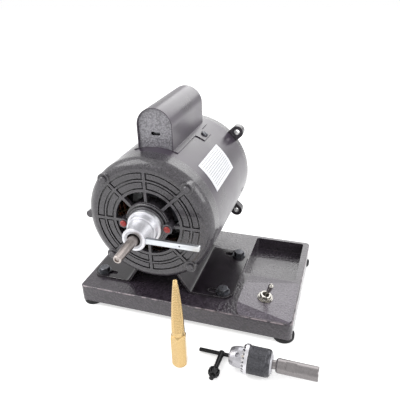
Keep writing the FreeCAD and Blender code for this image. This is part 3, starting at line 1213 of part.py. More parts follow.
# Check every object, then write one file for each sub-part.
doc.recompute()
for thing in doc.Objects:
    if "Invalid" in thing.State or "Error" in thing.State:
        raise SystemExit("failed object: %s %s" % (thing.Name, thing.State))
os.makedirs("parts", exist_ok=True)
for thing in finished:
    shape = thing.Shape
    if shape.isNull() or not shape.isValid() or not shape.Solids:
        raise SystemExit("bad shape: %s" % thing.Label)
for thing in finished:
    thing.Shape.exportStep("parts/%s.step" % thing.Label)
print(len(finished), "sub-parts written")
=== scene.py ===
import math

import bmesh
import bpy
import numpy as np
from mathutils import Matrix, Vector


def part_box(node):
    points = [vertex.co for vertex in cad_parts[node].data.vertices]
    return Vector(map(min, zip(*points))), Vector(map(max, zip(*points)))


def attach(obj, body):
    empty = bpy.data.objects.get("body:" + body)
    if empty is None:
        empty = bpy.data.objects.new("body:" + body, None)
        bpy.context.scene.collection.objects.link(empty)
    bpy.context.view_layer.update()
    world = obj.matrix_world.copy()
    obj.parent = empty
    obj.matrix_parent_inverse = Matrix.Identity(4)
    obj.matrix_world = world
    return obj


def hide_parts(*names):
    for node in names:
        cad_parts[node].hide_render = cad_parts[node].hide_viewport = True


# A dental polishing lathe on its tray base, with its brass spindle, drill chuck
# and chuck key in front. Metres, +X right, +Y back, +Z up, as in the frame.

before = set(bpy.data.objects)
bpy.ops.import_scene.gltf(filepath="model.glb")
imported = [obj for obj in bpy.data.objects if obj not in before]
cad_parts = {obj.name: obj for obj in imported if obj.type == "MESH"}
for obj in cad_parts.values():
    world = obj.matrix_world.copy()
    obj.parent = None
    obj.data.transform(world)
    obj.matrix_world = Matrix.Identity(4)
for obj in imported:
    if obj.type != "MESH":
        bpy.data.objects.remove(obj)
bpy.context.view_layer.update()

# Tray base: one sand casting, open underneath, sprayed with grey hammered enamel
# that dries in small dimples. Its upper edges are handled and have rubbed
# to a paler, pinkish grey.

MM = 0.001
# A Mix node's colour sockets go by number: its two inputs and its output.
TONE_A, TONE_B, TONE = 6, 7, 2


def linear(code):
    """An sRGB hex colour as the linear values that a socket takes."""
    channels = [int(code[place:place + 2], 16) / 255 for place in (1, 3, 5)]
    return [c / 12.92 if c <= 0.04045 else ((c + 0.055) / 1.055) ** 2.4 for c in channels] + [1.0]


def feed(finish, socket, value):
    """Link a socket to another one, or set it to a number, a vector or a hex colour."""
    if isinstance(value, bpy.types.NodeSocket):
        finish.node_tree.links.new(value, socket)
    else:
        socket.default_value = linear(value) if isinstance(value, str) else value


def add(finish, kind, inputs=None, out=0, **options):
    """Add one node to a finish, with its options and inputs, and give one of its outputs."""
    made = finish.node_tree.nodes.new("ShaderNode" + kind)
    for option, value in options.items():
        setattr(made, option, value)
    for socket, value in (inputs or {}).items():
        feed(finish, made.inputs[socket], value)
    return made.outputs[out]


def dress(finish, **sockets):
    """Set or link the sockets of the finish's own shader, named in words."""
    shader = finish.node_tree.nodes["Principled BSDF"]
    for words, value in sockets.items():
        feed(finish, shader.inputs[words.replace("_", " ").title().replace("Ior", "IOR")], value)


def new_finish(name, **sockets):
    """A material of one shader."""
    finish = bpy.data.materials.new(name)
    finish.use_nodes = True
    dress(finish, **sockets)
    return finish


def coat(finish, *names):
    """Give CAD nodes a finish."""
    for name in names:
        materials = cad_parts[name].data.materials
        materials.clear()
        materials.append(finish)


def spots(finish, size, detail=2.0, roughness=0.5, stretch=(1, 1, 1), levels=None):
    """Soft cloudy patches of a real size in millimetres. Levels say where they begin and
    are full, and may go on with the two values that they run between."""
    place = add(finish, "Mapping", {"Vector": add(finish, "TexCoord", out="Object"), "Scale": stretch})
    patches = add(finish, "TexNoise", {
        "Vector": place, "Scale": 1 / (size * MM), "Detail": detail, "Roughness": roughness})
    if levels is None:
        return patches
    return add(finish, "MapRange", dict(enumerate((patches, *levels))))


def rubbed(finish, reach):
    """How far an outer edge is worn: 1 on a sharp one, 0 on a flat. Wear comes in patches."""
    facing = add(finish, "VectorMath", {
        0: add(finish, "Bevel", {"Radius": reach * MM}, samples=4),
        1: add(finish, "NewGeometry", out="Normal")}, "Value", operation="DOT_PRODUCT")
    edge = add(finish, "MapRange", {"Value": facing, "From Min": 0.97, "From Max": 0.78})
    patches = spots(finish, 6, 3, levels=(0.35, 0.6, 0.25, 1.0))
    return add(finish, "Math", {0: edge, 1: patches}, operation="MULTIPLY")


def upward(finish):
    """How far a surface looks up: 1 where it lies level, 0 where it stands upright."""
    return add(finish, "SeparateXYZ", {0: add(finish, "NewGeometry", out="Normal")}, "Z")


def hammered_enamel(name, dark, light, worn, dimple=2.4, wear=1.0, rounded=False):
    """Enamel that dries in dimples. On a rounded form the worn edge is told by its
    slant, between level and upright."""
    finish = new_finish(name, ior=1.5, coat_weight=0.6, coat_roughness=0.1)
    cells = add(finish, "TexVoronoi", {
        "Vector": add(finish, "TexCoord", out="Object"), "Scale": 1 / (dimple * MM), "Smoothness": 0.6},
        feature="SMOOTH_F1")
    hollow = add(finish, "MapRange", {"Value": cells, "From Min": 0.1, "From Max": 0.7})
    pooled = add(finish, "Math", {
        0: hollow, 1: spots(finish, 24, 3, levels=(0.3, 0.7, 0.65, 1.0))}, operation="MULTIPLY")
    colour = add(finish, "Mix", {"Factor": pooled, TONE_A: light, TONE_B: dark}, TONE, data_type="RGBA")
    if rounded:
        slant = upward(finish)
        bare = add(finish, "Math", {
            0: add(finish, "MapRange", {"Value": slant, "From Min": 0.12, "From Max": 0.4}),
            1: add(finish, "MapRange", {"Value": slant, "From Min": 0.97, "From Max": 0.8})},
            operation="MULTIPLY")
        edge = add(finish, "Math", {
            0: bare, 1: spots(finish, 7, 4, 0.65, levels=(0.42, 0.6))}, operation="MULTIPLY")
    else:
        edge = rubbed(finish, 0.9)
    share = add(finish, "Math", {0: edge, 1: wear}, operation="MULTIPLY")
    colour = add(finish, "Mix", {"Factor": share, TONE_A: colour, TONE_B: worn}, TONE, data_type="RGBA")
    dress(finish, base_color=colour, roughness=spots(finish, 24, 3, levels=(0.3, 0.7, 0.22, 0.36)),
          normal=add(finish, "Bump", {
              "Height": hollow, "Distance": 0.3 * MM,
              "Normal": add(finish, "Bevel", {"Radius": 0.5 * MM}, samples=4)}))
    return finish


coat(hammered_enamel("grey_hammered_enamel", "#262027", "#433b45", "#b5a6ab", wear=0.7, rounded=True),
     "base_casting")

# Bottom plate: zinc-plated sheet steel, cut to the casting's L-shaped opening and
# held by the foot screws. Dull, with a faint crystal pattern.


def mottled(finish, size, dark, light, detail=2.0, roughness=0.5, stretch=(1, 1, 1), levels=None):
    """Two colours that pass into each other in cloudy patches."""
    share = spots(finish, size, detail, roughness, stretch, levels)
    return add(finish, "Mix", {"Factor": share, TONE_A: dark, TONE_B: light}, TONE, data_type="RGBA")


zinc_sheet = new_finish("dull_zinc_sheet", metallic=1.0)
dress(zinc_sheet, base_color=mottled(zinc_sheet, 7, "#8f8f8d", "#a9a9a6", 1),
      roughness=spots(zinc_sheet, 12, levels=(0.3, 0.7, 0.38, 0.55)))
coat(zinc_sheet, "bottom_plate")

# Feet and grommets: moulded black rubber, matt, with a grey bloom where it has
# aged. The screws that hold the feet are sunk in from below.
rubber = new_finish("moulded_black_rubber", roughness=0.7, specular_ior_level=0.35)
dress(rubber, base_color=mottled(rubber, 5, "#141416", "#2c2c2f", 4, levels=(0.4, 0.75)),
      normal=add(rubber, "Bump", {"Height": spots(rubber, 0.7), "Distance": 0.03 * MM}))
coat(rubber, "rubber_feet", "cable_grommet", "wire_grommet")

# Switch housing: pressed steel in darker enamel, screwed down on the base's right
# front. The enamel is the base's, sprayed thinner, so its dimples are finer.
coat(hammered_enamel("housing_enamel", "#3a333d", "#645b68", "#a1999e", dimple=1.9, wear=0.8),
     "switch_housing")

# Toggle switch: nickel-plated brass bushing, washer and hex nut, with a chromed
# bat lever, on a case of moulded resin. The plating is bright, with fine rubbed
# marks, and painted shade darkens it nearly to black where the pieces meet.


def with_painted_shade(finish, colour, dark, reach, low, high, samples=4):
    """Paint shade into a colour: darken it in gaps that are up to so many millimetres wide."""
    openness = add(finish, "AmbientOcclusion", {"Distance": reach * MM}, "AO", samples=samples)
    share = add(finish, "MapRange", {"Value": openness, "From Min": low, "From Max": high})
    return add(finish, "Mix", {"Factor": share, TONE_A: dark, TONE_B: colour}, TONE, data_type="RGBA")


def bright_metal(name, low, high, rough=(0.14, 0.3), mark=1.2, stretch=(1, 1, 1), gap_shade=None):
    """Bare or plated metal with faint marks of its making and use, of a size in
    millimetres. A gap shade is painted shade in its gaps: its dark colour, their width and the two levels of
    the shade."""
    finish = new_finish(name, metallic=1.0)
    colour = mottled(finish, mark, low, high, 3, 0.6, stretch, (0.3, 0.7))
    # Painted shade: the colour darkens in the gaps between pieces.
    if gap_shade:
        colour = with_painted_shade(finish, colour, *gap_shade, samples=6)
    dress(finish, base_color=colour, roughness=spots(finish, mark, 3, 0.6, stretch, (0.3, 0.75, *rough)))
    return finish


coat(bright_metal("bright_nickel_plate", "#8e8b86", "#bab7b1", gap_shade=("#0c0b0a", 2.0, 0.3, 0.85)),
     "switch_bushing", "switch_washer", "switch_nut", "toggle_lever")
resin = new_finish("moulded_phenolic_resin", roughness=0.5)
dress(resin, base_color=mottled(resin, 4, "#2a1a14", "#3d281e", 3))
coat(resin, "switch_case", "start_switch", "governor_collar")

# Motor cradle: one bent steel sheet in grey enamel. Its cut edges and slot rims
# have rubbed bright, and its flat feet are glossier than its struts.
cradle_enamel = new_finish("cradle_enamel", ior=1.5, coat_weight=0.25, coat_roughness=0.2)
cradle_colour = mottled(cradle_enamel, 9, "#151115", "#282229", 4, levels=(0.3, 0.7))
cradle_edge = rubbed(cradle_enamel, 0.6)
dress(cradle_enamel,
      base_color=add(cradle_enamel, "Mix", {
          "Factor": cradle_edge, TONE_A: cradle_colour, TONE_B: "#a7a3a6"}, TONE, data_type="RGBA"),
      metallic=add(cradle_enamel, "MapRange", {"Value": cradle_edge, "From Min": 0.3, "To Max": 0.6}),
      roughness=add(cradle_enamel, "MapRange", {
          "Value": upward(cradle_enamel), "From Min": 0.7, "From Max": 0.97, "To Min": 0.5, "To Max": 0.17}),
      normal=add(cradle_enamel, "Bump", {
          "Height": spots(cradle_enamel, 1.6), "Distance": 0.03 * MM,
          "Normal": add(cradle_enamel, "Bevel", {"Radius": 0.4 * MM}, samples=4)}))
coat(cradle_enamel, "motor_cradle")

# Cradle bolts: quarter-inch hex bolts with plain washers, zinc plated and dulled
# to a blue grey. The feet's screws and the tie bolts' nuts are plated alike.
bolt_zinc = bright_metal("dulled_zinc_plate", "#46474b", "#7a7b80", (0.26, 0.46), 1.6)
coat(bolt_zinc, "cradle_bolts", "cradle_washers", "cradle_nuts", "foot_screws", "tie_nuts")

# Motor shell: a rolled steel tube under smooth grey enamel, with a slight orange
# peel from the spray gun. It mirrors the bench softly. The cover is sprayed alike.
shell_enamel = new_finish("smooth_motor_enamel", ior=1.5, coat_weight=0.3, coat_roughness=0.2)
shell_colour = mottled(shell_enamel, 30, "#363039", "#473f4b", 4, levels=(0.3, 0.7))
dress(shell_enamel,
      base_color=add(shell_enamel, "Mix", {
          "Factor": rubbed(shell_enamel, 0.7), TONE_A: shell_colour, TONE_B: "#8a868c"},
          TONE, data_type="RGBA"),
      roughness=spots(shell_enamel, 30, 4, levels=(0.3, 0.7, 0.26, 0.4)),
      normal=add(shell_enamel, "Bump", {
          "Height": spots(shell_enamel, 3.0, 1), "Distance": 0.03 * MM,
          "Normal": add(shell_enamel, "Bevel", {"Radius": 0.4 * MM}, samples=4)}))
coat(shell_enamel, "motor_shell", "capacitor_cover")

# Stator: a stack of electrical steel sheets pressed into the shell, blue-black
# from annealing, wound with varnished copper wire. The turns stand out of both
# ends as thick rings, laced with cord.


def along(finish, axis):
    """A point's place along one axis, in metres."""
    return add(finish, "SeparateXYZ", {0: add(finish, "TexCoord", out="Object")}, axis)


def ringed(finish, spacing):
    """A wave along the motor's axis, from -1 to 1, of a spacing in millimetres."""
    turns = add(finish, "Math", {0: along(finish, "Y"), 1: math.tau / (spacing * MM)}, operation="MULTIPLY")
    return add(finish, "Math", {0: turns}, operation="SINE")


core_steel = new_finish("laminated_core_steel", metallic=0.9, roughness=0.5)
# Real sheets are 0.5 mm thick; 1 mm shows in a picture.
core_sheets = ringed(core_steel, 1)
dress(core_steel,
      base_color=add(core_steel, "Mix", {
          "Factor": add(core_steel, "MapRange", {"Value": core_sheets, "From Min": -1}),
          TONE_A: "#2b2c31", TONE_B: "#4c4d52"}, TONE, data_type="RGBA"),
      normal=add(core_steel, "Bump", {"Height": core_sheets, "Distance": 0.05 * MM}))
coat(core_steel, "stator_core", "rotor_core")


def piece_of(name, points, faces, finish, sharp=35.0):
    """A named piece of one finish, from points in millimetres, smooth but for its
    sharp edges."""
    mesh = bpy.data.meshes.new(name)
    mesh.from_pydata([tuple(point) for point in np.asarray(points) * MM], [],
                     [tuple(int(n) for n in face) for face in faces])
    shaped = bmesh.new()
    shaped.from_mesh(mesh)
    bmesh.ops.recalc_face_normals(shaped, faces=shaped.faces)
    shaped.to_mesh(mesh)
    shaped.free()
    mesh.polygons.foreach_set("use_smooth", [True] * len(mesh.polygons))
    mesh.set_sharp_from_angle(angle=math.radians(sharp))
    mesh.materials.append(finish)
    piece = bpy.data.objects.new(name, mesh)
    bpy.context.scene.collection.objects.link(piece)
    return piece


def skin(name, rings, finish, joined=False, sharp=35.0):
    """Lay a surface over rings of points in millimetres. One point alone closes an
    end, and joined rings close on themselves, as a hoop does."""
    rings = [np.asarray(ring, float).reshape(-1, 3) for ring in rings]
    starts = np.cumsum([0] + [len(ring) for ring in rings])
    pairs = list(zip(range(len(rings)), range(1, len(rings))))
    if joined:
        pairs.append((len(rings) - 1, 0))
    faces = []
    for first, second in pairs:
        low, high = starts[first], starts[second]
        count = max(len(rings[first]), len(rings[second]))
        for step in range(count):
            after = (step + 1) % count
            if len(rings[first]) == 1:
                faces.append((low, high + after, high + step))
            elif len(rings[second]) == 1:
                faces.append((low + step, low + after, high))
            else:
                faces.append((low + step, low + after, high + after, high + step))
    return piece_of(name, np.vstack(rings), faces, finish, sharp)


def squarer(value):
    """Push a sine or cosine outwards, so that a circle bulges towards a square."""
    return math.copysign(abs(value) ** 0.7, value)


motor_x, motor_z = -47.1, 119.5
base_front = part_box("base_casting")[0].y / MM
copper = new_finish("varnished_copper_wire", metallic=0.75, roughness=0.34, coat_weight=0.6,
                    coat_roughness=0.2)
dress(copper, base_color=mottled(copper, 5, "#34150b", "#6b3820", 3, levels=(0.3, 0.7)))
lacing = new_finish("waxed_lacing_cord", roughness=0.7)
dress(lacing, base_color=mottled(lacing, 2, "#554934", "#7a6a4e", 3))
wire_play = np.random.default_rng(11)
# Twenty-four strands weave round a bundle 17 mm thick and 20 mm long at each end of
# the core, and cord is drawn round it between the eighteen slots. Both follow a
# squarish loop, given by half its thickness and half its length.
bundle_radius, bundle_offset = 51, 10.4
strand_loop, strand_count, strand_steps, strand_corners, strand_radius = (7.4, 8.8), 24, 96, 5, 1.15
cord_loop, cord_count, cord_steps, cord_corners = (9.1, 10.1), 18, 20, 4
cord_half_width, cord_half_thickness = 0.9, 0.5
windings = []
for core_end, way in ((58.0, -1), (122.0, 1)):
    for strand in range(strand_count):
        turn = math.tau * strand / strand_count
        weave = wire_play.uniform(0, math.tau, 3)
        rings = []
        for step in range(strand_steps):
            sweep = math.tau * step / strand_steps
            lean = turn + 0.28 * math.sin(3 * sweep + weave[0]) + 0.1 * math.sin(8 * sweep + weave[1])
            reach = (bundle_radius + strand_loop[0] * squarer(math.cos(lean))
                     + 0.3 * math.sin(5 * sweep + weave[2]))
            behind = core_end + way * (bundle_offset + strand_loop[1] * squarer(math.sin(lean)))
            ring = []
            for corner in range(strand_corners):
                bend = math.tau * corner / strand_corners
                out = reach + strand_radius * math.cos(bend)
                ring.append((motor_x + out * math.cos(sweep),
                             base_front + behind + strand_radius * math.sin(bend),
                             motor_z + out * math.sin(sweep)))
            rings.append(ring)
        windings.append(skin("wire_%d_%d" % (way + 1, strand), rings, copper, joined=True, sharp=80))
    for knot in range(cord_count):
        sweep = math.tau * (knot + 0.5) / cord_count
        rings = []
        for step in range(cord_steps):
            lean = math.tau * step / cord_steps
            ring = []
            for corner in range(cord_corners):
                bend = math.tau * corner / cord_corners
                raise_by = cord_half_thickness * math.cos(bend)
                out = bundle_radius + (cord_loop[0] * squarer(math.cos(lean)) + raise_by * math.cos(lean))
                behind = bundle_offset + cord_loop[1] * squarer(math.sin(lean)) + raise_by * math.sin(lean)
                angle = sweep + cord_half_width * math.sin(bend) / out
                ring.append((motor_x + out * math.cos(angle), base_front + core_end + way * behind,
                             motor_z + out * math.sin(angle)))
            rings.append(ring)
        windings.append(skin("lacing_%d_%d" % (way + 1, knot), rings, lacing, joined=True, sharp=80))
for winding in windings:
    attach(winding, "machine")
    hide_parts("stator_winding")

# Rotor: a core like the stator's on a turned shaft, with frosted grey aluminium
# rings and blades cast on to its ends, and a governor of yellow plated sheet that
# works the starting switch.
coat(bright_metal("die_cast_aluminium", "#8d8e90", "#a9aaac", (0.4, 0.6), 2.5), "rotor_end_rings")
coat(bright_metal("yellow_plated_sheet", "#8d8468", "#a89d7c", (0.3, 0.45), 4), "governor")

# Shaft: turned steel, browned by handling, its long taper worn by the sockets of
# the tools. Its turning marks run round it.
shaft_steel = new_finish("browned_turned_steel", metallic=1.0)
shaft_marks = {"size": 2.2, "detail": 3, "roughness": 0.6, "stretch": (1, 6, 1)}
shaft_colour = mottled(shaft_steel, dark="#978d89", light="#c2bab6", levels=(0.3, 0.7), **shaft_marks)
dress(shaft_steel,
      base_color=add(shaft_steel, "Mix", {
          "Factor": rubbed(shaft_steel, 0.5), TONE_A: shaft_colour, TONE_B: "#eae6e3"},
          TONE, data_type="RGBA"),
      roughness=spots(shaft_steel, levels=(0.3, 0.7, 0.26, 0.4), **shaft_marks))
coat(shaft_steel, "shaft")

# Bearings: ground steel rings and balls, pressed into both endshields and on to
# the shaft. They are dark with oil.
coat(bright_metal("ground_bearing_steel", "#8c8a86", "#b4b2ae", (0.12, 0.25)),
     "front_bearing_outer", "front_bearing_inner", "front_bearing_balls",
     "rear_bearing_outer", "rear_bearing_inner", "rear_bearing_balls")

# Endshields: iron sand castings sprayed grey, drawn together by the tie bolts. The
# sunk panels keep the grain of the sand, with paler flecks painted on as highlights
# where the surface faces up; the grooves are darkened nearly to black as painted
# shade, and the ribs have rubbed pale.
cast_enamel = new_finish("sprayed_sand_casting", ior=1.5, coat_weight=0.6, coat_roughness=0.1)
cast_sand = {"size": 1.5, "detail": 4, "roughness": 0.7}
cast_colour = mottled(cast_enamel, dark="#232024", light="#48444b", levels=(0.38, 0.66), **cast_sand)
# Painted highlight: pale flecks of the grain, stronger where the surface faces up.
cast_painted_glint = add(cast_enamel, "Math", {
    0: spots(cast_enamel, 2.2, 4, 0.7, levels=(0.56, 0.74)),
    1: add(cast_enamel, "MapRange", {
        "Value": upward(cast_enamel), "From Max": 0.7, "To Min": 0.22, "To Max": 0.6})}, operation="MULTIPLY")
cast_colour = add(cast_enamel, "Mix", {
    "Factor": cast_painted_glint, TONE_A: cast_colour, TONE_B: "#97929a"}, TONE, data_type="RGBA")
# Painted shade: the colour darkens nearly to black in the grooves and gaps.
cast_colour = with_painted_shade(cast_enamel, cast_colour, "#050506", 3.0, 0.35, 0.9)
dress(cast_enamel,
      base_color=add(cast_enamel, "Mix", {
          "Factor": rubbed(cast_enamel, 0.8), TONE_A: cast_colour, TONE_B: "#98959a"},
          TONE, data_type="RGBA"),
      roughness=spots(cast_enamel, levels=(0.3, 0.7, 0.22, 0.42), **cast_sand),
      normal=add(cast_enamel, "Bump", {
          "Height": spots(cast_enamel, **cast_sand), "Distance": 0.45 * MM,
          "Normal": add(cast_enamel, "Bevel", {"Radius": 0.4 * MM}, samples=4)}))
coat(cast_enamel, "front_endshield", "rear_endshield", "tie_bolts")

# Hub screws: small round-headed screws sealed with red lacquer, brushed on.
# Painted shade darkens the red round the foot of the head.
lacquer = new_finish("red_sealing_lacquer", roughness=0.35, coat_weight=0.3, coat_roughness=0.1)
lacquer_colour = mottled(lacquer, 1.2, "#7d100c", "#b3241c", 3, levels=(0.35, 0.65))
# Painted shade: the red darkens in the gap round the head's foot.
dress(lacquer, base_color=with_painted_shade(lacquer, lacquer_colour, "#3d0706", 1.6, 0.55, 0.95),
      normal=add(lacquer, "Bump", {"Height": spots(lacquer, 1.0), "Distance": 0.15 * MM}))
coat(lacquer, "hub_screws")

# Ejector: aluminium turned in rings, with a steel thrust sleeve inside and a flat
# lever of bright steel. Its annular faces shine.
turned_aluminium = bright_metal("turned_aluminium", "#c4c4ca", "#e6e6ea", (0.34, 0.48), 1.6, (1, 8, 1))
# The tool marks are 0.2 mm apart on the real piece; 0.9 mm shows in a picture.
dress(turned_aluminium, normal=add(turned_aluminium, "Bump", {
    "Height": ringed(turned_aluminium, 0.9), "Distance": 0.09 * MM,
    "Normal": add(turned_aluminium, "Bevel", {"Radius": 0.3 * MM}, samples=4)}))
coat(turned_aluminium, "ejector_body", "ejector_collar")
coat(bright_metal("turned_steel", "#8c8c90", "#b8b8bc", (0.25, 0.4), 1.0, (1, 6, 1)), "thrust_sleeve")
coat(bright_metal("plated_lever_steel", "#b9bdc2", "#dde1e5", (0.28, 0.42), 3.0, (0.15, 1, 1)),
     "ejector_lever")
coat(bright_metal("dark_pin_steel", "#2c2c2f", "#4a4a4e", (0.4, 0.5), 1.0), "lever_pin")

# Capacitor and its cover's front: a drawn aluminium can, and a sunk plate in
# silver-grey hammered enamel with a small slot in it.
coat(bright_metal("drawn_can", "#9b9ca0", "#b7b8bb", (0.25, 0.4), 3), "capacitor")
coat(hammered_enamel("silver_hammered_enamel", "#68666b", "#aeacb3", "#c9c7ca", dimple=1.7, wear=0.5),
     "cover_front_plate")

# Cover screws: slotted pan heads, 8.2 mm across, one on each side of the cover's
# foot, zinc plated and dulled like the bolts. Their slots stand at a slant.
head_radius, slot_half_width, slot_angle, side_points = 4.1, 0.55, 7.7, 15
layer_points = 2 * side_points
for side, place in (("left", 115.5), ("right", 64.5)):
    tilt = math.radians(place)
    outward = np.array((math.cos(tilt), 0, math.sin(tilt)))
    around = np.array((-math.sin(tilt), 0, math.cos(tilt)))
    slant = math.radians(35)
    slot_way = around * math.cos(slant) + np.array((0, math.sin(slant), 0))
    slot_side = -around * math.sin(slant) + np.array((0, math.cos(slant), 0))
    seat = np.array((motor_x, base_front + 111.2, motor_z)) + outward * 71.6
    # The layers rise from the seat, and each has fifteen points on either side of the slot.
    screw_points = []
    for level, size in ((0.0, 1.0), (1.0, 1.0), (1.3, 0.98), (1.8, 0.86), (2.1, 0.5)):
        for half in (1, -1):
            for step in range(side_points):
                turn = math.radians(slot_angle + (180 - 2 * slot_angle) * step / (side_points - 1))
                down_slot = head_radius * size * math.cos(turn)
                off_slot = half * max(head_radius * size * math.sin(turn), slot_half_width)
                screw_points.append(seat + outward * level + slot_way * down_slot + slot_side * off_slot)
    rim = list(range(side_points)) + list(range(layer_points - 1, side_points - 1, -1))
    # The seat, the slot's floor and the wall between them, then each half's head.
    screw_faces = [rim, [layer_points + corner
                         for corner in (0, side_points - 1, layer_points - 1, side_points)]]
    screw_faces += [(rim[step - 1], rim[step], rim[step] + layer_points, rim[step - 1] + layer_points)
                    for step in range(layer_points)]
    for first in (layer_points, layer_points + side_points):
        for layer in range(3):
            low, high = first + layer_points * layer, first + layer_points * (layer + 1)
            screw_faces += [(low + step, low + (step + 1) % side_points, high + (step + 1) % side_points,
                             high + step) for step in range(side_points)]
        screw_faces.append([first + 3 * layer_points + step for step in range(side_points)])
    screw = piece_of("cover_screw_" + side, screw_points, screw_faces, bolt_zinc)
    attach(screw, "machine")
    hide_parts("cover_screws")

# Rating plate: printed aluminium, stuck to the shell and kept bare but for eleven
# plain ruled lines that stop short of its ends.
plate_print = new_finish("printed_plate", roughness=0.35)
plate_radius, line_spacing, line_share = 70.9, 2.7, 0.16
plate_rise, plate_reach = [
    add(plate_print, "Math", {0: along(plate_print, axis), 1: middle * MM}, operation="SUBTRACT")
    for axis, middle in (("Z", motor_z), ("X", motor_x))]
plate_turn = add(plate_print, "Math", {0: plate_rise, 1: plate_reach}, operation="ARCTAN2")
plate_row = add(plate_print, "Math", {0: plate_turn, 1: plate_radius / line_spacing}, operation="MULTIPLY")
plate_row = add(plate_print, "Math", {0: plate_row}, operation="FRACT")
plate_lines = add(plate_print, "Math", {0: plate_row, 1: line_share}, operation="LESS_THAN")
for place, outside, inside in (
        (along(plate_print, "Y"), (base_front + 48.0) * MM, (base_front + 48.4) * MM),
        (along(plate_print, "Y"), (base_front + 104.5) * MM, (base_front + 104.1) * MM),
        (plate_turn, math.radians(25.2), math.radians(25.4)),
        (plate_turn, math.radians(48.4), math.radians(48.2))):
    printed = add(plate_print, "MapRange", {"Value": place, "From Min": outside, "From Max": inside})
    plate_lines = add(plate_print, "Math", {0: plate_lines, 1: printed}, operation="MULTIPLY")
plate_ink = add(plate_print, "Math", {0: plate_lines, 1: 0.85}, operation="MULTIPLY")
plate_ground = mottled(plate_print, 10, "#e4e5ea", "#f3f4f8")
dress(plate_print, base_color=add(plate_print, "Mix", {
    "Factor": plate_ink, TONE_A: plate_ground, TONE_B: "#5e6068"}, TONE, data_type="RGBA"))
coat(plate_print, "rating_plate")

# Polishing spindle: turned from 14.4 mm hexagon brass bar, bored with a taper for
# the motor's nose. A worm thread on its long cone draws buffs and felt cones on.
spindle_brass = bright_metal("turned_brass", "#bb9a66", "#dcc391", (0.12, 0.24), 1.4, (1, 1, 5))
spindle_low, spindle_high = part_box("polishing_spindle")
spindle_x, spindle_y = [(spindle_low[side] + spindle_high[side]) / 2 / MM for side in (0, 1)]
hexagon_turn, flat_radius, thread_pitch, thread_depth, ring_steps = 12, 7.2, 1.8, 0.35, 96


def spindle_ring(level, reach, flats=False, cut=0.0):
    """The spindle's outline at one height: round, on its hexagon, or threaded."""
    ring = []
    for step in range(ring_steps):
        swing = 360 / ring_steps * step
        angle = math.radians(hexagon_turn + swing)
        out = reach
        if flats:
            off_flat = 30 - abs(swing % 60 - 30)
            out = min(flat_radius / math.cos(math.radians(off_flat)), reach)
        share = (level / thread_pitch - step / ring_steps) % 1.0
        out -= cut * abs(2 * share - 1)
        ring.append((spindle_x + out * math.cos(angle), spindle_y + out * math.sin(angle), level))
    return ring


# The bore, the chamfered foot, and a crown whose bevel leaves a scallop over each flat.
rings = [[(spindle_x, spindle_y, 34.0)], spindle_ring(34.0, 4.0), spindle_ring(0.0, 5.52)]
rings += [spindle_ring(level, out, flats=True) for level, out in ((0.0, 6.9), (1.3, 7.7), (2.6, 8.42))]
rings += [spindle_ring(35.5 + 0.5 * step, 8.42 - 0.23 * step, flats=True) for step in range(8)]
# The cone narrows from 13.2 to 4.4 mm over 62.4 mm, and bows out by 0.87 mm.
cone_foot, cone_length, cone_steps = 39, 62.4, 312
for step in range(cone_steps + 1):
    share = step / cone_steps
    out = 6.6 - 4.4 * share + 3.47 * share * (1 - share)
    rings.append(spindle_ring(cone_foot + cone_length * share, out,
                              cut=thread_depth * min(1, 12 * share, 12 * (1 - share))))
rings += [spindle_ring(level, out)
          for level, out in ((101.9, 2.05), (102.4, 1.75), (102.8, 1.35), (103.0, 0.9))]
rings.append([(spindle_x, spindle_y, 103.0)])
spindle = skin("spindle_turned", rings, spindle_brass, sharp=30)
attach(spindle, "spindle")
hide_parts("polishing_spindle")

# Drill chuck: a ground steel nose bored for three jaws and for the key, in an
# oiled dark sleeve with a knurl and a pressed-on ring of bright bevel teeth, whose
# gaps are darkened to black as painted shade.
chuck_steel = bright_metal("ground_chuck_steel", "#a09fa3", "#bfbec3", (0.34, 0.48), 1.6, (5, 1, 1))
coat(chuck_steel, "chuck_body", "chuck_nut", "chuck_jaw_1", "chuck_jaw_2", "chuck_jaw_3")
tooth_steel = new_finish("bright_tooth_steel", metallic=1.0)
# Painted shade: the teeth's colour goes black in the gaps between them.
dress(tooth_steel, base_color=with_painted_shade(tooth_steel, "#cfced2", "#070707", 1.5, 0.5, 0.85, samples=6),
      roughness=spots(tooth_steel, 1.2, 3, 0.6, levels=(0.3, 0.75, 0.24, 0.4)))
coat(tooth_steel, "chuck_tooth_ring")
sleeve_steel = bright_metal("oiled_knurled_steel", "#3b3b3e", "#58585c", (0.3, 0.44), 1.4)
sleeve_low, sleeve_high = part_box("chuck_sleeve")
sleeve_start = 13.6
chuck_x = sleeve_low.x / MM - sleeve_start
chuck_y, chuck_z = [(sleeve_low[side] + sleeve_high[side]) / 2 / MM for side in (1, 2)]
sleeve_steps, knurl_count, knurl_length, knurl_depth = 384, 64, 1.3, 0.3


def sleeve_ring(place, reach, knurl=0.0):
    """The sleeve's outline at a place along it, cut with 64 diamonds round."""
    ring = []
    for step in range(sleeve_steps):
        angle = math.tau * step / sleeve_steps
        out = reach
        if knurl:
            column, row = knurl_count * step / sleeve_steps, place / knurl_length
            nearest = min(abs(2 * (line % 1.0) - 1) for line in (column + row, column - row))
            out -= knurl_depth * knurl * max(0, 1 - 2 * nearest)
        ring.append((chuck_x + place, chuck_y + out * math.cos(angle), chuck_z + out * math.sin(angle)))
    return ring


rings = [sleeve_ring(place, reach) for place, reach in (
    (sleeve_start, 10.35), (sleeve_start, 11.8), (19.4, 11.8), (19.4, 13.1), (19.7, 13.4), (20.6, 13.4))]
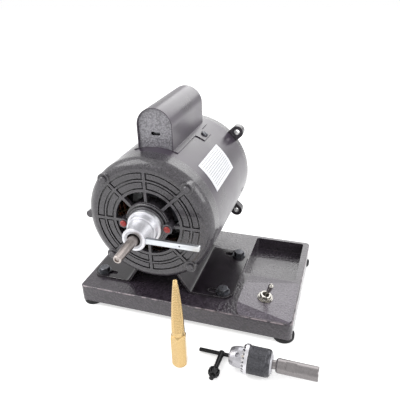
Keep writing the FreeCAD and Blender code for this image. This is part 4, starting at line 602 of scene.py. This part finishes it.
# The knurl is cut in rings 0.2 mm apart, and runs out over 0.6 mm at both ends.
knurl_start, knurl_end, knurl_rings, knurl_run_out = 20.6, 36.8, 79, 0.6
for row in range(knurl_rings):
    place = 20.8 + 0.2 * row
    depth = min(1.0, (place - knurl_start) / knurl_run_out, (knurl_end - place) / knurl_run_out)
    rings.append(sleeve_ring(place, 13.4, depth))
rings += [sleeve_ring(place, reach) for place, reach in (
    (36.8, 13.4), (37.6, 13.4), (37.9, 13.1), (38.3, 13.1), (39.4, 12.9), (40.5, 11.6), (40.5, 10.35),
    (33.5, 10.35), (33.5, 12.4), (20.6, 12.4), (20.6, 10.35))]
sleeve = skin("sleeve_knurled", rings, sleeve_steel, joined=True, sharp=40)
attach(sleeve, "chuck_sleeve")
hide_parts("chuck_sleeve")

# Adapter: turned grey steel, milled with two flats for a spanner, pressed into the
# chuck and bored with the nose's taper at its other end.
coat(bright_metal("grey_adapter_steel", "#777374", "#8f8b8b", (0.28, 0.42), 1.8, (5, 1, 1)), "chuck_adapter")

# Chuck key: forged and blackened steel, its bar pushed through the hub of its
# stem. The blacking has worn off its edges.
key_steel = new_finish("blackened_steel", metallic=0.5, roughness=0.4)
dress(key_steel, base_color=add(key_steel, "Mix", {
    "Factor": rubbed(key_steel, 0.4), TONE_A: "#151517", TONE_B: "#48484c"}, TONE, data_type="RGBA"))
coat(key_steel, "key_stem", "key_bar")

# Floor and studio: a white sweep, lit softly from above and both sides. Both the
# floor and the world are seen and mirrored as plain white.


def seen_share(finish):
    """1 for what the camera sees, straight on, mirrored or through glass, and else 0."""
    rays = add(finish, "LightPath").node.outputs
    seen = add(finish, "Math", {0: rays["Is Camera Ray"], 1: rays["Is Glossy Ray"]}, operation="ADD")
    return add(finish, "Math", {0: seen, 1: rays["Is Transmission Ray"]}, operation="ADD", use_clamp=True)


floor_reach = 4.0
floor_mesh = bpy.data.meshes.new("studio_floor")
floor_corners = [(x * floor_reach, y * floor_reach, 0) for x, y in ((-1, -1), (1, -1), (1, 1), (-1, 1))]
floor_mesh.from_pydata(floor_corners, [], [(0, 1, 2, 3)])
studio_floor = bpy.data.objects.new("studio_floor", floor_mesh)
bpy.context.scene.collection.objects.link(studio_floor)
sweep_paint = new_finish("white_sweep", base_color="#f0f0f0", roughness=0.9, emission_color="#ffffff")
dress(sweep_paint, emission_strength=add(
    sweep_paint, "Math", {0: seen_share(sweep_paint), 1: 0.5}, operation="MULTIPLY"))
floor_mesh.materials.append(sweep_paint)

world = bpy.data.worlds.new("studio")
bpy.context.scene.world = world
world.use_nodes = True
sky = world.node_tree.nodes["Background"]
feed(world, sky.inputs["Color"], "#ffffff")
feed(world, sky.inputs["Strength"], add(world, "MapRange", {"Value": seen_share(world), "To Min": 0.55}))

lamp_target = Vector((0, 0, 0.1))
for lamp_name, spot, width, watts in (
        ("key_box", (-0.8, -0.4, 1.0), 0.8, 9), ("side_box", (0.95, -0.2, 0.6), 0.6, 5),
        ("back_box", (0.1, 1.1, 0.9), 1.1, 8)):
    lamp_data = bpy.data.lights.new(lamp_name, "AREA")
    lamp_data.size = width
    lamp_data.energy = watts
    lamp = bpy.data.objects.new(lamp_name, lamp_data)
    lamp.location = spot
    lamp.rotation_euler = (lamp_target - Vector(spot)).to_track_quat("-Z", "Y").to_euler()
    bpy.context.scene.collection.objects.link(lamp)

# Camera: it looks down on the nose from the right, as the photograph does. Its
# place and angles were solved from the edges of the base.
camera_data = bpy.data.cameras.new("camera")
camera_data.lens = 41.6
camera_data.sensor_width = 36
camera = bpy.data.objects.new("camera", camera_data)
yaw, pitch, roll = [math.radians(angle) for angle in (18.786, 27.03, -1.781)]
camera.matrix_world = (
    Matrix.Translation((0.1394, -0.42239, 0.3575)) @ Matrix.Rotation(yaw, 4, "Z")
    @ Matrix.Rotation(math.pi / 2 - pitch, 4, "X") @ Matrix.Rotation(roll, 4, "Z"))
bpy.context.scene.collection.objects.link(camera)
bpy.context.scene.camera = camera
bpy.context.scene.view_settings.view_transform = "Standard"
